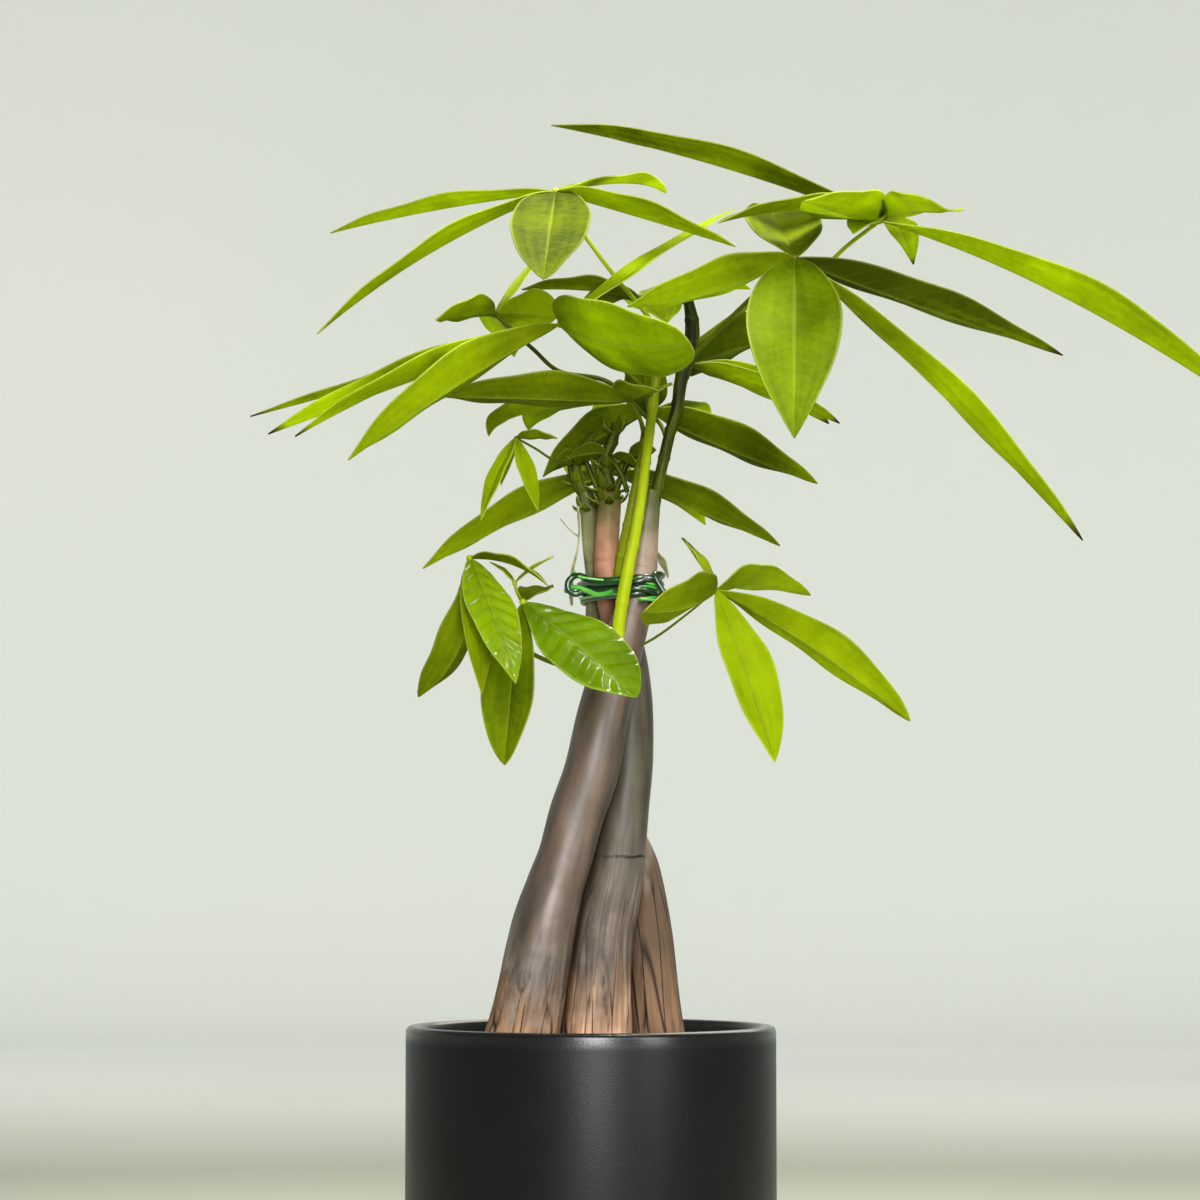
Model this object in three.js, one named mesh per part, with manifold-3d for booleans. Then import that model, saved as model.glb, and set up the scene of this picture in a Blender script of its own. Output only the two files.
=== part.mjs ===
// Braided money tree (Pachira aquatica) in a plain cylinder pot.
// Millimetres, +Z up. The origin is the centre of the pot's underside.
// +X is the right of the tree as it is usually looked at, and +Y is its back.

import * as THREE from 'three';
import { mergeVertices } from 'three/addons/utils/BufferGeometryUtils.js';
import Module from 'manifold-3d';

const wasm = await Module();
wasm.setup();

// Driving dimensions of the pot
const POT_DIAMETER = 135;
const POT_HEIGHT = 125;
const POT_WALL = 6.2;
const POT_FLOOR = 7;
const LIP_ROUND = 2.2;
const BASE_ROUND = 2.5;
const POT_SIDES = 48;

// The soil in the pot
const SOIL_TOP = 112;
const SOIL_MOUND = 1;
const SOIL_RINGS = 7;

// Gap kept between pieces that touch
const GAP = 0.3;

// Leaves
const BLADE_THICKNESS = 0.7;
const BLADE_CELLS = 7;
const TIP_WIDTH = 0.9;
const FOLD = 14;
const WAVE = 0.5;
const WAVES = 5;
const LEAF_BELLY = 0.88;
const LEAF_POINT = 0.9;
const BROAD_LATE = { belly: 1.2, point: 0.75 };
const BROAD_EARLY = { belly: 0.5, point: 0.75 };
const PETIOLE_RADIUS = 0.85;
const YOUNG_RADIUS = 0.55;
const PETIOLE_SIDES = 5;
const HUB_SIZE = 1.6;

// The wire tie
const TIE_RADIUS = 0.95;
const TIE_TURNS = 4.64;
const TIE_PITCH = 2.5;
const TIE_BOTTOM = 279.5;
const TIE_START = -0.6;
const TIE_CLEARANCE = 0.8;
const TURN_POINTS = 18;
const TIE_STEPS = 88;
const TIE_TAILS = [[27, -14, 278], [-6.5, -9, 287]];

const degrees = THREE.MathUtils.degToRad;
const vector = (point) => new THREE.Vector3(...point);
const UP = new THREE.Vector3(0, 0, 1);

// What each kind of piece looks like
const COLOURS = {
  pot: { color: 0x2b2829, roughness: 0.55 },
  soil: { color: 0x3a2c22, roughness: 0.95 },
  bark: { color: 0x7a6654, roughness: 0.75 },
  tie: { color: 0x145c22, roughness: 0.35 },
  shoot: { color: 0x6f8f1a, roughness: 0.5 },
  leaf: { color: 0x7fa010, roughness: 0.45 },
  glossy: { color: 0x5c8a10, roughness: 0.3 },
};

const tree = new THREE.Group();

// A named piece of one material
function addPiece(name, geometry, finish) {
  geometry.computeVertexNormals();
  const material = new THREE.MeshStandardMaterial({ metalness: 0, ...COLOURS[finish] });
  const mesh = new THREE.Mesh(geometry, material);
  mesh.name = name;
  tree.add(mesh);
}

// Solids and back, for joining and cutting
function toSolid(geometry) {
  const bare = geometry.clone();
  bare.deleteAttribute('normal');
  bare.deleteAttribute('uv');
  const merged = mergeVertices(bare, 1e-4);
  const mesh = new wasm.Mesh({
    numProp: 3,
    vertProperties: Float32Array.from(merged.attributes.position.array),
    triVerts: Uint32Array.from(merged.index.array),
  });
  return new wasm.Manifold(mesh);
}

function toGeometry(solid) {
  const mesh = solid.getMesh();
  const geometry = new THREE.BufferGeometry();
  geometry.setAttribute('position', new THREE.BufferAttribute(Float32Array.from(mesh.vertProperties), 3));
  geometry.setIndex(new THREE.BufferAttribute(Uint32Array.from(mesh.triVerts), 1));
  return geometry;
}

// The largest body of a cut solid, without the scraps that a cut can leave
function mainBody(solid) {
  const bodies = solid.decompose();
  bodies.sort((a, b) => b.volume() - a.volume());
  return bodies[0];
}

// A round stem along a smooth line: points are [x, y, z, radius]
function stemGeometry(points, sides, steps, extra = 0) {
  const curve = new THREE.CatmullRomCurve3(points.map((p) => vector(p.slice(0, 3))));
  const frames = curve.computeFrenetFrames(steps);
  const geometry = new THREE.CylinderGeometry(1, 1, 1, sides, steps);
  const position = geometry.attributes.position;
  const last = points.length - 1;
  for (let i = 0; i < position.count; i += 1) {
    const along = THREE.MathUtils.clamp(position.getY(i) + 0.5, 0, 1);
    const step = Math.round(along * steps);
    const t = step / steps;
    const place = curve.getUtoTmapping(t) * last;
    const low = Math.min(Math.floor(place), last - 1);
    const radius = THREE.MathUtils.lerp(points[low][3], points[low + 1][3], place - low) + extra;
    const spot = curve.getPointAt(t);
    spot.addScaledVector(frames.normals[step], position.getX(i) * radius);
    spot.addScaledVector(frames.binormals[step], -position.getZ(i) * radius);
    position.setXYZ(i, spot.x, spot.y, spot.z);
  }
  return geometry;
}

// Half the width of a leaflet at v along its rib, from 0 at the hub to 1 at the tip, as a share of the
// widest. A higher belly is widest later along the rib, and a lower point has blunter ends.
function leafletShare(v, belly, point) {
  return Math.max(Math.sin(Math.PI * v ** belly), 0) ** point;
}

// One leaflet. The rib is an arc from hub to tip, arch is how far its middle stands off the straight
// line, roll turns the blade about the rib, and fold is how far each half is raised like a book.
function leafletGeometry(hub, leaflet) {
  const { tip, width, arch, roll = 0, peak = 0.5, belly = LEAF_BELLY, point = LEAF_POINT } = leaflet;
  const start = vector(hub);
  const end = vector(tip);
  const chord = end.clone().sub(start);
  const along = chord.clone().normalize();
  const lift = UP.clone().addScaledVector(along, -UP.dot(along));
  lift.normalize();
  const middle = start.clone().lerp(end, peak).addScaledVector(lift, 2 * arch);
  const rib = new THREE.QuadraticBezierCurve3(start, middle, end);

  const across = 2;
  const sheet = new THREE.PlaneGeometry(1, 1, across, BLADE_CELLS);
  const grid = sheet.attributes.position;
  const upper = [];
  const lower = [];
  for (let i = 0; i < grid.count; i += 1) {
    const u = grid.getX(i) * 2;
    const v = 0.5 - grid.getY(i);
    const tangent = rib.getTangent(v);
    const face = lift.clone().addScaledVector(tangent, -lift.dot(tangent)).normalize();
    face.applyAxisAngle(tangent, degrees(roll));
    const side = face.clone().cross(tangent).normalize();
    const half = Math.max(0.5 * width * leafletShare(v, belly, point), 0.5 * TIP_WIDTH);
    const raise = degrees(FOLD) * Math.abs(u);
    const ripple = WAVE * Math.abs(u) * Math.sin(v * Math.PI * WAVES + u);
    const spot = rib.getPoint(v);
    spot.addScaledVector(side, u * half * Math.cos(raise));
    const rise = (Math.abs(u) - 0.5) * half * Math.sin(degrees(FOLD));
    spot.addScaledVector(face, rise + ripple * Math.min(1, half / 6));
    const outward = face.clone().applyAxisAngle(tangent, Math.sign(u) * raise);
    upper.push(spot.clone().addScaledVector(outward, BLADE_THICKNESS / 2));
    lower.push(spot.clone().addScaledVector(outward, -BLADE_THICKNESS / 2));
  }
  return closedSheet(sheet, upper, lower, across, BLADE_CELLS);
}

// A thin closed blade from a grid's two faces, split into triangles alike, and a wall round the edge
function closedSheet(sheet, upper, lower, across, down) {
  const count = upper.length;
  const index = [];
  const source = sheet.index.array;
  for (let i = 0; i < source.length; i += 3) {
    const [a, b, c] = [source[i], source[i + 1], source[i + 2]];
    index.push(a, b, c);
    index.push(a + count, c + count, b + count);
  }
  const edge = [];
  const row = across + 1;
  for (let i = 0; i < across; i += 1) edge.push(i);
  for (let j = 0; j < down; j += 1) edge.push(j * row + across);
  for (let i = across; i > 0; i -= 1) edge.push(down * row + i);
  for (let j = down; j > 0; j -= 1) edge.push(j * row);
  for (let i = 0; i < edge.length; i += 1) {
    const a = edge[i];
    const b = edge[(i + 1) % edge.length];
    index.push(a, b, b + count);
    index.push(a, b + count, a + count);
  }
  const geometry = new THREE.BufferGeometry();
  const flat = [...upper, ...lower].flatMap((p) => [p.x, p.y, p.z]);
  geometry.setAttribute('position', new THREE.Float32BufferAttribute(flat, 3));
  geometry.setIndex(index);
  return geometry;
}

// The three braided stems, from their lower ends in the soil to their cut tops: [x, y, z, radius]
const STEMS = {
  stem_left: [
    [-22, -6, 70, 10], [-26, -8, 112, 14.2], [-23.7, -8, 125, 13.3], [-20.8, -8, 140, 12.2],
    [-16.8, -9, 162, 11.4], [-13.2, -9.5, 175, 10.2], [-9, -10.5, 187, 9.6], [-5, -11, 202, 9.5],
    [0, -12, 217, 9.4], [4, -12, 236, 9.1], [7.5, -11.5, 250, 8.5], [11, -9.5, 262, 7.6],
    [15.3, -6.5, 276, 6.2], [18, -4.5, 289, 5.3], [19.6, -3, 303, 4.6], [21.6, -1.8, 317, 4],
  ],
  stem_centre: [
    [1, -4, 70, 9.5], [1.5, -7, 112, 12.9], [1.9, -6, 125, 12.4], [4.4, -3, 158, 10.9],
    [9.1, -1, 181, 9.8], [11.9, 1, 207, 9.2], [13.4, 3.2, 222, 9], [14.3, 4.8, 244, 8],
    [12.8, 5.5, 262, 6.8], [8.8, 3, 276, 5.2], [5.9, 0, 289, 4], [6, -1, 303, 4],
    [6.6, 0, 321, 4.1],
  ],
  stem_right: [
    [20, 5, 72, 9], [23, 7, 112, 11.8], [21.7, 8, 125, 11.5], [18.3, 15, 161, 11],
    [14.6, 18, 181, 10.4], [9.7, 19.8, 193, 10.1], [7.5, 20.5, 212, 9.3], [6.8, 20, 230, 8.7],
    [6.5, 19, 244, 8], [5.2, 16, 262, 6.8], [4.1, 12.3, 276, 5.6], [2.9, 8.6, 289, 4.2],
    [0.8, 5.8, 303, 3.7], [-0.8, 4.4, 318, 3.4],
  ],
};
const STEM_SIDES = 12;
const STEM_STEPS = 24;

// The green shoots, from inside the stem that each grows out of to its tip
const SHOOTS = {
  shoot_tall: [
    [21.8, -1.8, 306, 2.4], [23.5, -1, 317, 2.3], [26, 0, 329, 2.1], [29, 2, 342, 2.1],
    [32, 4, 353, 2.2], [33.5, 5, 363, 2.5], [37, 6, 374, 3], [37.5, 4, 384, 2.7], [36, 2, 393, 1.8],
  ],
  shoot_front: [
    [9, -13, 255, 2.4], [9.2, -21.5, 261, 2.4], [11, -24.5, 276, 2.3], [13.5, -24, 290, 2.2],
    [17, -20, 308, 2], [19, -16.5, 322, 1.9], [21, -12, 338, 1.8], [23, -8, 354, 1.8],
    [24, -6, 364, 1.6],
  ],
  shoot_inner: [
    [6.4, 0, 292, 2], [10, -6, 297.5, 2], [12, -10, 304, 2], [14.5, -10.5, 313, 1.9],
    [17, -8.5, 324, 1.8], [19.3, -5.5, 336, 1.8], [20, -4.5, 342, 1.6],
  ],
  shoot_mid: [
    [6.6, 0, 312, 3.2], [6.6, 0, 321, 3.4], [5.6, -0.5, 327, 2.4], [5, -1, 333, 2.2],
    [7.5, -1, 339, 2.4], [9.5, -1.5, 346, 1.6],
  ],
  shoot_left: [
    [-0.8, 4.6, 310, 2.6], [-2, 4.6, 319.5, 2.7], [-4.8, 4, 325, 2.3], [-5.6, 4, 331, 2],
    [-3, 4.5, 337, 2], [1, 5.5, 343, 1.4],
  ],
};
// A dead leaf stalk that hangs from the foot of shoot_left, and a dry bract on stem_left
const DRY_STALK = [
  [-3.5, 4.4, 321, 0.7], [-6.2, 3, 316, 0.6], [-6.4, 2, 306, 0.55], [-6.8, 0, 298, 0.55],
  [-7.6, -2, 290, 0.7], [-8, -3, 283, 1.1], [-7.6, -3, 278, 0.6],
];
const BRACT = { hub: [21, 0, 301], tip: [28.5, 3, 289], width: 6, arch: 1 };
const SHOOT_SIDES = 7;
const SHOOT_STEPS = 12;

// The compound leaves. Each petiole runs from the hub through its bends to a place along a shoot or
// a stem, given as a share of its length, and the leaflets spread from the hub.
const LEAVES = {
  leaf_crown_left: {
    hub: [-13, -15, 430],
    bends: [[-2, -10, 414], [10, -3, 399], [22, 2, 385]],
    grows: ['shoot_tall', 0.66],
    leaflets: [
      { tip: [-98, 15, 420], width: 17, arch: 3, roll: 2 },
      { tip: [-97, -55, 371], width: 20, arch: 6, roll: 12 },
      { tip: [-16, -100, 383], width: 29, arch: 2, belly: 0.8, point: 0.7 },
      { tip: [29, 55, 443], width: 14, arch: 5, roll: -4, peak: 0.75 },
      { tip: [52, -40, 405], width: 22, arch: 2, roll: -12 },
    ],
  },
  leaf_crown_right: {
    hub: [106, -15, 419],
    bends: [[95, -12, 411], [82, -8, 400], [57, 0, 389]],
    grows: ['shoot_tall', 0.8],
    leaflets: [
      { tip: [-15, 10, 460], width: 24, arch: 5, roll: 10 },
      { tip: [45, -65, 409], width: 22, arch: 6, roll: 4 },
      { tip: [74, -90, 412], width: 28, arch: 1, roll: 14 },
      { tip: [93, -60, 406], width: 14, arch: 2 },
      { tip: [125, -90, 408], width: 24, arch: 3, roll: -14, belly: 1.8, point: 0.7 },
      { tip: [234, -25, 352], width: 34, arch: 8, roll: -8, belly: 1.3, point: 0.8 },
      { tip: [125, 60, 416], width: 13, arch: 8, peak: 0.7 },
    ],
  },
  leaf_front_right: {
    hub: [73, -45, 400],
    bends: [[65, -35, 394], [56, -22, 387]],
    grows: ['shoot_tall', 0.74],
    leaflets: [
      { tip: [69, -110, 327], width: 34, arch: 5, belly: 0.8 },
      { tip: [13, -60, 380], width: 30, arch: -1, roll: 21 },
      { tip: [176, 10, 373], width: 26, arch: 1, roll: -8, belly: 0.75 },
      { tip: [173, -60, 297], width: 24, arch: 4, roll: -18, belly: 1.1 },
      { tip: [66, 15, 431], width: 30, arch: 3 },
    ],
  },
  leaf_front: {
    hub: [-11, -45, 376],
    bends: [[-2, -35, 372], [11, -20, 364]],
    grows: ['shoot_front', 0.92],
    leaflets: [
      { tip: [34, -95, 361], width: 36, arch: -3, roll: -36, belly: 0.9, point: 0.5 },
      { tip: [-84, -80, 323], width: 28, arch: 4, roll: 22, belly: 1.15 },
      { tip: [-117, -25, 339], width: 26, arch: 2, roll: 8 },
      { tip: [-105, -50, 335], width: 20, arch: 5, roll: 8 },
      { tip: [54, 25, 431], width: 9, arch: 2, roll: 8 },
      { tip: [-127, 10, 350], width: 12, arch: 0, roll: 3 },
    ],
  },
  leaf_left: {
    hub: [-35, -25, 383],
    bends: [[-21, -18, 371], [-12, -12, 364], [6, -5, 361]],
    grows: ['shoot_front', 0.84],
    leaflets: [
      { tip: [-20, 35, 415], width: 4, arch: 0 },
      { tip: [-55, -55, 376], width: 17, arch: 2, roll: 30 },
      { tip: [-13, -14, 383], width: 19, arch: 2, roll: -45, belly: 1.5, point: 0.6 },
      { tip: [-30, 60, 380], width: 20, arch: 5 },
    ],
  },
  leaf_back: {
    hub: [18, 22, 397],
    bends: [[28, 12, 395]],
    grows: ['shoot_tall', 0.98],
    leaflets: [
      { tip: [-26, 12, 398], width: 18, arch: 3, roll: 5 },
      { tip: [-4, 55, 396], width: 16, arch: 3, roll: 10 },
      { tip: [30, 90, 398], width: 24, arch: 2 },
      { tip: [62, 70, 408], width: 22, arch: 3 },
    ],
  },
  leaf_mid_right: {
    hub: [36, 20, 371],
    bends: [[35, 12, 366]],
    grows: ['shoot_tall', 0.6],
    leaflets: [
      { tip: [94, 30, 350], width: 24, arch: 6, roll: -7 },
      { tip: [92, 62, 354], width: 24, arch: 7, roll: -8 },
      { tip: [68, 62, 387], width: 32, arch: 2, roll: -46 },
      { tip: [27, 95, 378], width: 22, arch: 6 },
    ],
  },
  leaf_mid_left: {
    hub: [14, -18, 352],
    bends: [[18, -12, 346]],
    grows: ['shoot_inner', 0.97],
    leaflets: [
      { tip: [-54, -45, 350], width: 26, arch: 2, roll: 22 },
      { tip: [-38, 5, 342], width: 22, arch: 7, peak: 0.9 },
      { tip: [-24, 35, 348], width: 20, arch: 6, peak: 0.9 },
      { tip: [24, -60, 350], width: 22, arch: 3 },
    ],
  },
  leaf_small: {
    hub: [-27, -30, 337],
    bends: [[-20, -22, 334], [-14, -14, 331]],
    grows: ['shoot_left', 0.62],
    leaflets: [
      { tip: [-12, -45, 335], width: 6, arch: 1, roll: -30 },
      { tip: [-18.5, -55, 308], width: 7, arch: 0.5 },
      { tip: [-39, -50, 305], width: 7, arch: 2 },
      { tip: [-33, -10, 322], width: 5, arch: 2 },
    ],
  },
  leaf_side: {
    hub: [8, 30, 331],
    bends: [[18, 20, 327]],
    grows: ['shoot_tall', 0.2],
    leaflets: [
      { tip: [-63, 20, 294], width: 29, arch: 3, roll: 20 },
      { tip: [71, 25, 303], width: 27, arch: 2, roll: -18 },
      { tip: [-6, 105, 333], width: 25, arch: 6 },
      { tip: [45, 95, 318], width: 22, arch: 5 },
      { tip: [15, 115, 342], width: 26, arch: 7 },
    ],
  },
  leaf_right: {
    hub: [21, 24, 354],
    bends: [[26, 12, 347]],
    grows: ['shoot_tall', 0.38],
    leaflets: [
      { tip: [85, 20, 326], width: 30, arch: 1, roll: -20 },
      { tip: [-18, 15, 328], width: 25, arch: 3, roll: 32 },
      { tip: [19, -16, 374], width: 17, arch: 0, belly: 0.6, point: 0.7 },
      { tip: [3, 100, 352], width: 24, arch: 6 },
      { tip: [45, 105, 353], width: 26, arch: 6 },
    ],
  },
  leaf_low_left: {
    hub: [-43, -45, 292],
    bends: [[-38, -42, 278], [-29, -37, 264], [-17, -30, 257], [-2, -20, 253]],
    grows: ['stem_left', 0.72],
    leaflets: [
      { tip: [-15, -60, 281], width: 10, arch: 4, roll: -12 },
      { tip: [-25.5, -90, 245], width: 18, arch: 4 },
      { tip: [-37.5, -75, 242], width: 12, arch: 4 },
      { tip: [-62, -30, 243.5], width: 21, arch: -8, ...BROAD_LATE },
      { tip: [-43, -28, 264], width: 8, arch: 2 },
    ],
  },
  leaf_glossy: {
    hub: [-24, -50, 276],
    bends: [[-11, -40, 265], [3, -28, 258]],
    grows: ['shoot_front', 0.05],
    leaflets: [
      { tip: [16, -78, 241], width: 29.5, arch: 1, roll: 32, ...BROAD_LATE },
      { tip: [-30, -65, 218], width: 21, arch: 3, ...BROAD_LATE },
      { tip: [-15, -10, 284], width: 12, arch: 2 },
    ],
    young: {
      hub: [-27, -48, 283],
      bends: [[-26, -48.5, 279.5]],
      root: [-24, -50, 276],
      leaflets: [
        { tip: [-13, -52, 292], width: 3, arch: 1 },
        { tip: [-36, -40, 291], width: 3, arch: 1 },
      ],
    },
  },
  leaf_low_right: {
    hub: [45, -30, 282],
    bends: [[35, -22, 274], [22, -14, 265]],
    grows: ['stem_left', 0.755],
    leaflets: [
      { tip: [18.5, -80, 270.5], width: 26, arch: -1, roll: 44, point: 0.7 },
      { tip: [34, 25, 306], width: 9, arch: 2, roll: 38 },
      { tip: [82, 20, 284], width: 23, arch: 4, roll: -24, peak: 0.3, ...BROAD_EARLY },
      { tip: [115, -25, 235], width: 23, arch: 4, roll: -30, belly: 1.1, point: 0.8 },
      { tip: [64, -70, 219], width: 21, arch: 3, belly: 1.05, point: 0.8 },
    ],
  },
};

// Pot
function makePot() {
  const outer = POT_DIAMETER / 2;
  const inner = outer - POT_WALL;
  const profile = new THREE.Shape();
  profile.moveTo(0, 0);
  profile.lineTo(outer - BASE_ROUND, 0);
  profile.quadraticCurveTo(outer, 0, outer, BASE_ROUND);
  profile.lineTo(outer, POT_HEIGHT - LIP_ROUND);
  profile.quadraticCurveTo(outer, POT_HEIGHT, outer - LIP_ROUND, POT_HEIGHT);
  profile.lineTo(inner + LIP_ROUND, POT_HEIGHT);
  profile.quadraticCurveTo(inner, POT_HEIGHT, inner, POT_HEIGHT - LIP_ROUND);
  profile.lineTo(inner, POT_FLOOR);
  profile.lineTo(0, POT_FLOOR);
  const turned = new THREE.LatheGeometry(profile.getPoints(2), POT_SIDES);
  turned.rotateX(Math.PI / 2);
  return toSolid(turned);
}

// Soil, a plug that fills the pot to below its rim, with an uneven top
function makeSoil() {
  const radius = POT_DIAMETER / 2 - POT_WALL - GAP;
  const bottom = POT_FLOOR + GAP;
  const profile = [new THREE.Vector2(0, bottom), new THREE.Vector2(radius, bottom)];
  for (let i = SOIL_RINGS; i >= 0; i -= 1) {
    profile.push(new THREE.Vector2((radius * i) / SOIL_RINGS, SOIL_TOP));
  }
  const plug = new THREE.LatheGeometry(profile, POT_SIDES / 2);
  plug.rotateX(Math.PI / 2);
  const position = plug.attributes.position;
  for (let i = 0; i < position.count; i += 1) {
    if (position.getZ(i) < SOIL_TOP - 1) continue;
    const x = position.getX(i);
    const y = position.getY(i);
    const lump = Math.sin(x * 0.21) * Math.cos(y * 0.17) + 0.6 * Math.sin(x * 0.47 + y * 0.39);
    position.setZ(i, SOIL_TOP + SOIL_MOUND * lump);
  }
  return toSolid(plug);
}

// A smooth line through the bends of a stem or shoot
function centreline(points) {
  return new THREE.CatmullRomCurve3(points.map((p) => vector(p.slice(0, 3))));
}

// Stems: the front one is whole, and each one behind is pressed in where it meets the others
function makeStems() {
  const stems = {};
  const done = [];
  for (const [name, points] of Object.entries(STEMS)) {
    let solid = toSolid(stemGeometry(points, STEM_SIDES, STEM_STEPS));
    for (const other of done) {
      solid = solid.subtract(toSolid(stemGeometry(STEMS[other], STEM_SIDES, STEM_STEPS, GAP)));
    }
    stems[name] = mainBody(solid);
    done.push(name);
  }
  return stems;
}

// Every stem and shoot made a gap larger, to cut what grows from it
function makeSeats() {
  const seats = {};
  for (const [name, points] of Object.entries(STEMS)) {
    seats[name] = toSolid(stemGeometry(points, STEM_SIDES, STEM_STEPS, GAP));
  }
  for (const [name, points] of Object.entries(SHOOTS)) {
    seats[name] = toSolid(stemGeometry(points, SHOOT_SIDES, SHOOT_STEPS, GAP));
  }
  return seats;
}

// A petiole, a hub and its leaflets grown together. The petiole thickens towards its root.
function growLeaf(leaf, root, radius) {
  const route = [leaf.hub, ...leaf.bends, root];
  const last = route.length - 1;
  const thick = route.map((p, i) => [...p, radius * (1 + (0.3 * i) / last)]);
  const knob = new THREE.SphereGeometry(radius * HUB_SIZE, 6, 4);
  knob.translate(...leaf.hub);
  let solid = toSolid(stemGeometry(thick, PETIOLE_SIDES, 2 * last));
  solid = solid.add(toSolid(knob));
  for (const leaflet of leaf.leaflets) {
    solid = solid.add(toSolid(leafletGeometry(leaf.hub, leaflet)));
  }
  return solid;
}

// One compound leaf, cut off a gap before the shoot or stem that it grows out of
function makeLeaf(leaf, seats) {
  const [support, place] = leaf.grows;
  const line = centreline(STEMS[support] ?? SHOOTS[support]);
  const root = line.getPointAt(place).toArray();
  let solid = growLeaf(leaf, root, PETIOLE_RADIUS);
  if (leaf.young) solid = solid.add(growLeaf(leaf.young, leaf.young.root, YOUNG_RADIUS));
  return mainBody(solid.subtract(seats[support]));
}

// The stem circle at one height, as [x, y, z, radius]
function circleAt(points, z) {
  const upper = points.findIndex((p) => p[2] >= z);
  const [low, high] = [points[upper - 1], points[upper]];
  const t = (z - low[2]) / (high[2] - low[2]);
  return low.map((value, i) => THREE.MathUtils.lerp(value, high[i], t));
}

// The tie: a coated wire wound round the outline of the three stems, with a free tail at each end
function makeTie() {
  const route = [vector(TIE_TAILS[0])];
  for (let i = 0; i <= TIE_TURNS * TURN_POINTS; i += 1) {
    const angle = TIE_START + (i / TURN_POINTS) * 2 * Math.PI;
    const z = TIE_BOTTOM + (i / TURN_POINTS) * TIE_PITCH;
    const way = new THREE.Vector3(Math.cos(angle), Math.sin(angle), 0);
    let farthest = -Infinity;
    let spot = null;
    for (const points of Object.values(STEMS)) {
      const [x, y, , radius] = circleAt(points, z);
      const reach = x * way.x + y * way.y + radius;
      if (reach < farthest) continue;
      farthest = reach;
      spot = new THREE.Vector3(x, y, z);
      spot.addScaledVector(way, radius + TIE_RADIUS + TIE_CLEARANCE);
    }
    route.push(spot);
  }
  route.push(vector(TIE_TAILS[1]));

  const wire = new THREE.Shape();
  wire.absarc(0, 0, TIE_RADIUS, 0, 2 * Math.PI);
  const extrudePath = new THREE.CatmullRomCurve3(route);
  const wound = new THREE.ExtrudeGeometry(wire, { steps: TIE_STEPS, curveSegments: 3, extrudePath });
  return toSolid(wound);
}

const stems = makeStems();
const seats = makeSeats();

addPiece('pot', toGeometry(makePot()), 'pot');

let soil = makeSoil();
for (const name of Object.keys(STEMS)) soil = soil.subtract(seats[name]);
addPiece('soil', toGeometry(mainBody(soil)), 'soil');

stems.stem_left = stems.stem_left.add(toSolid(leafletGeometry(BRACT.hub, BRACT)));
for (const [name, solid] of Object.entries(stems)) addPiece(name, toGeometry(solid), 'bark');

for (const [name, points] of Object.entries(SHOOTS)) {
  let solid = toSolid(stemGeometry(points, SHOOT_SIDES, SHOOT_STEPS));
  if (name === 'shoot_left') solid = solid.add(toSolid(stemGeometry(DRY_STALK, PETIOLE_SIDES, 10)));
  for (const stem of Object.keys(STEMS)) solid = solid.subtract(seats[stem]);
  addPiece(name, toGeometry(mainBody(solid)), 'shoot');
}

let tie = makeTie();
for (const name of Object.keys(STEMS)) tie = tie.subtract(seats[name]);
addPiece('tie', toGeometry(mainBody(tie)), 'tie');

for (const [name, leaf] of Object.entries(LEAVES)) {
  const finish = name === 'leaf_glossy' ? 'glossy' : 'leaf';
  addPiece(name, toGeometry(makeLeaf(leaf, seats)), finish);
}

export default tree;
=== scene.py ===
# %% [markdown]
# # A potted money tree
# This lesson dresses the CAD model of a small braided money tree. The model gives the sizes and places,
# and each cell below makes one visible piece over it: the pot, the potting mix, the three braided
# stems, the wire tie, the green shoots and the palmate leaves.

# %% Load the model and keep its box
import math

import bpy
import numpy as np
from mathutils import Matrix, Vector, noise


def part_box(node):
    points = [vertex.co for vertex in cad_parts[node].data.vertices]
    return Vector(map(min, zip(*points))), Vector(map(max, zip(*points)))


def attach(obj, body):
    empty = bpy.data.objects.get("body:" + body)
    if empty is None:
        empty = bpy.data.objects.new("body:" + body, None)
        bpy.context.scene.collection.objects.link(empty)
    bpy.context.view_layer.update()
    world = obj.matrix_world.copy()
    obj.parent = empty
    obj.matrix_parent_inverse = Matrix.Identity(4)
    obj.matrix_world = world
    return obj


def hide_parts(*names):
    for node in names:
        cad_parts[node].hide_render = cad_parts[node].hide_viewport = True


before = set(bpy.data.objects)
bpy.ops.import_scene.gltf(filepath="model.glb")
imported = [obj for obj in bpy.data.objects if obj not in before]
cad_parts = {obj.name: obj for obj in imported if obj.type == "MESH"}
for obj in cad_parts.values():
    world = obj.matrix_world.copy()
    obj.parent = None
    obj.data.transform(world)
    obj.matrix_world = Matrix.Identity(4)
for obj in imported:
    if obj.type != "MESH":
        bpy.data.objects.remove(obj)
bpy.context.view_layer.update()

print("nodes in the model:", len(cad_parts))

# %% [markdown]
# ## Camera
# A plant is photographed a little from below its crown, so the undersides of the leaves show. A long
# lens keeps the stems parallel. The camera comes first, so that every later look is from its place.

# %% Camera
MM = 0.001
LENS_RIGHT = 3.3
LENS_BACK = 1285
LENS_ABOVE_FLOOR = 181.5
LENS_UP_TILT = 4.411
LENS_LENGTH = 105
SENSOR_WIDTH = 36

bpy.ops.object.select_all(action="DESELECT")
bpy.ops.object.camera_add(
    location=(LENS_RIGHT * MM, -LENS_BACK * MM, LENS_ABOVE_FLOOR * MM),
    rotation=(math.radians(90 + LENS_UP_TILT), 0, 0),
)
camera = bpy.context.object
camera.data.lens = LENS_LENGTH
camera.data.sensor_width = SENSOR_WIDTH
bpy.context.scene.camera = camera
bpy.context.scene.view_settings.view_transform = "Standard"
print("camera", tuple(round(value, 3) for value in camera.location))

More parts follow.
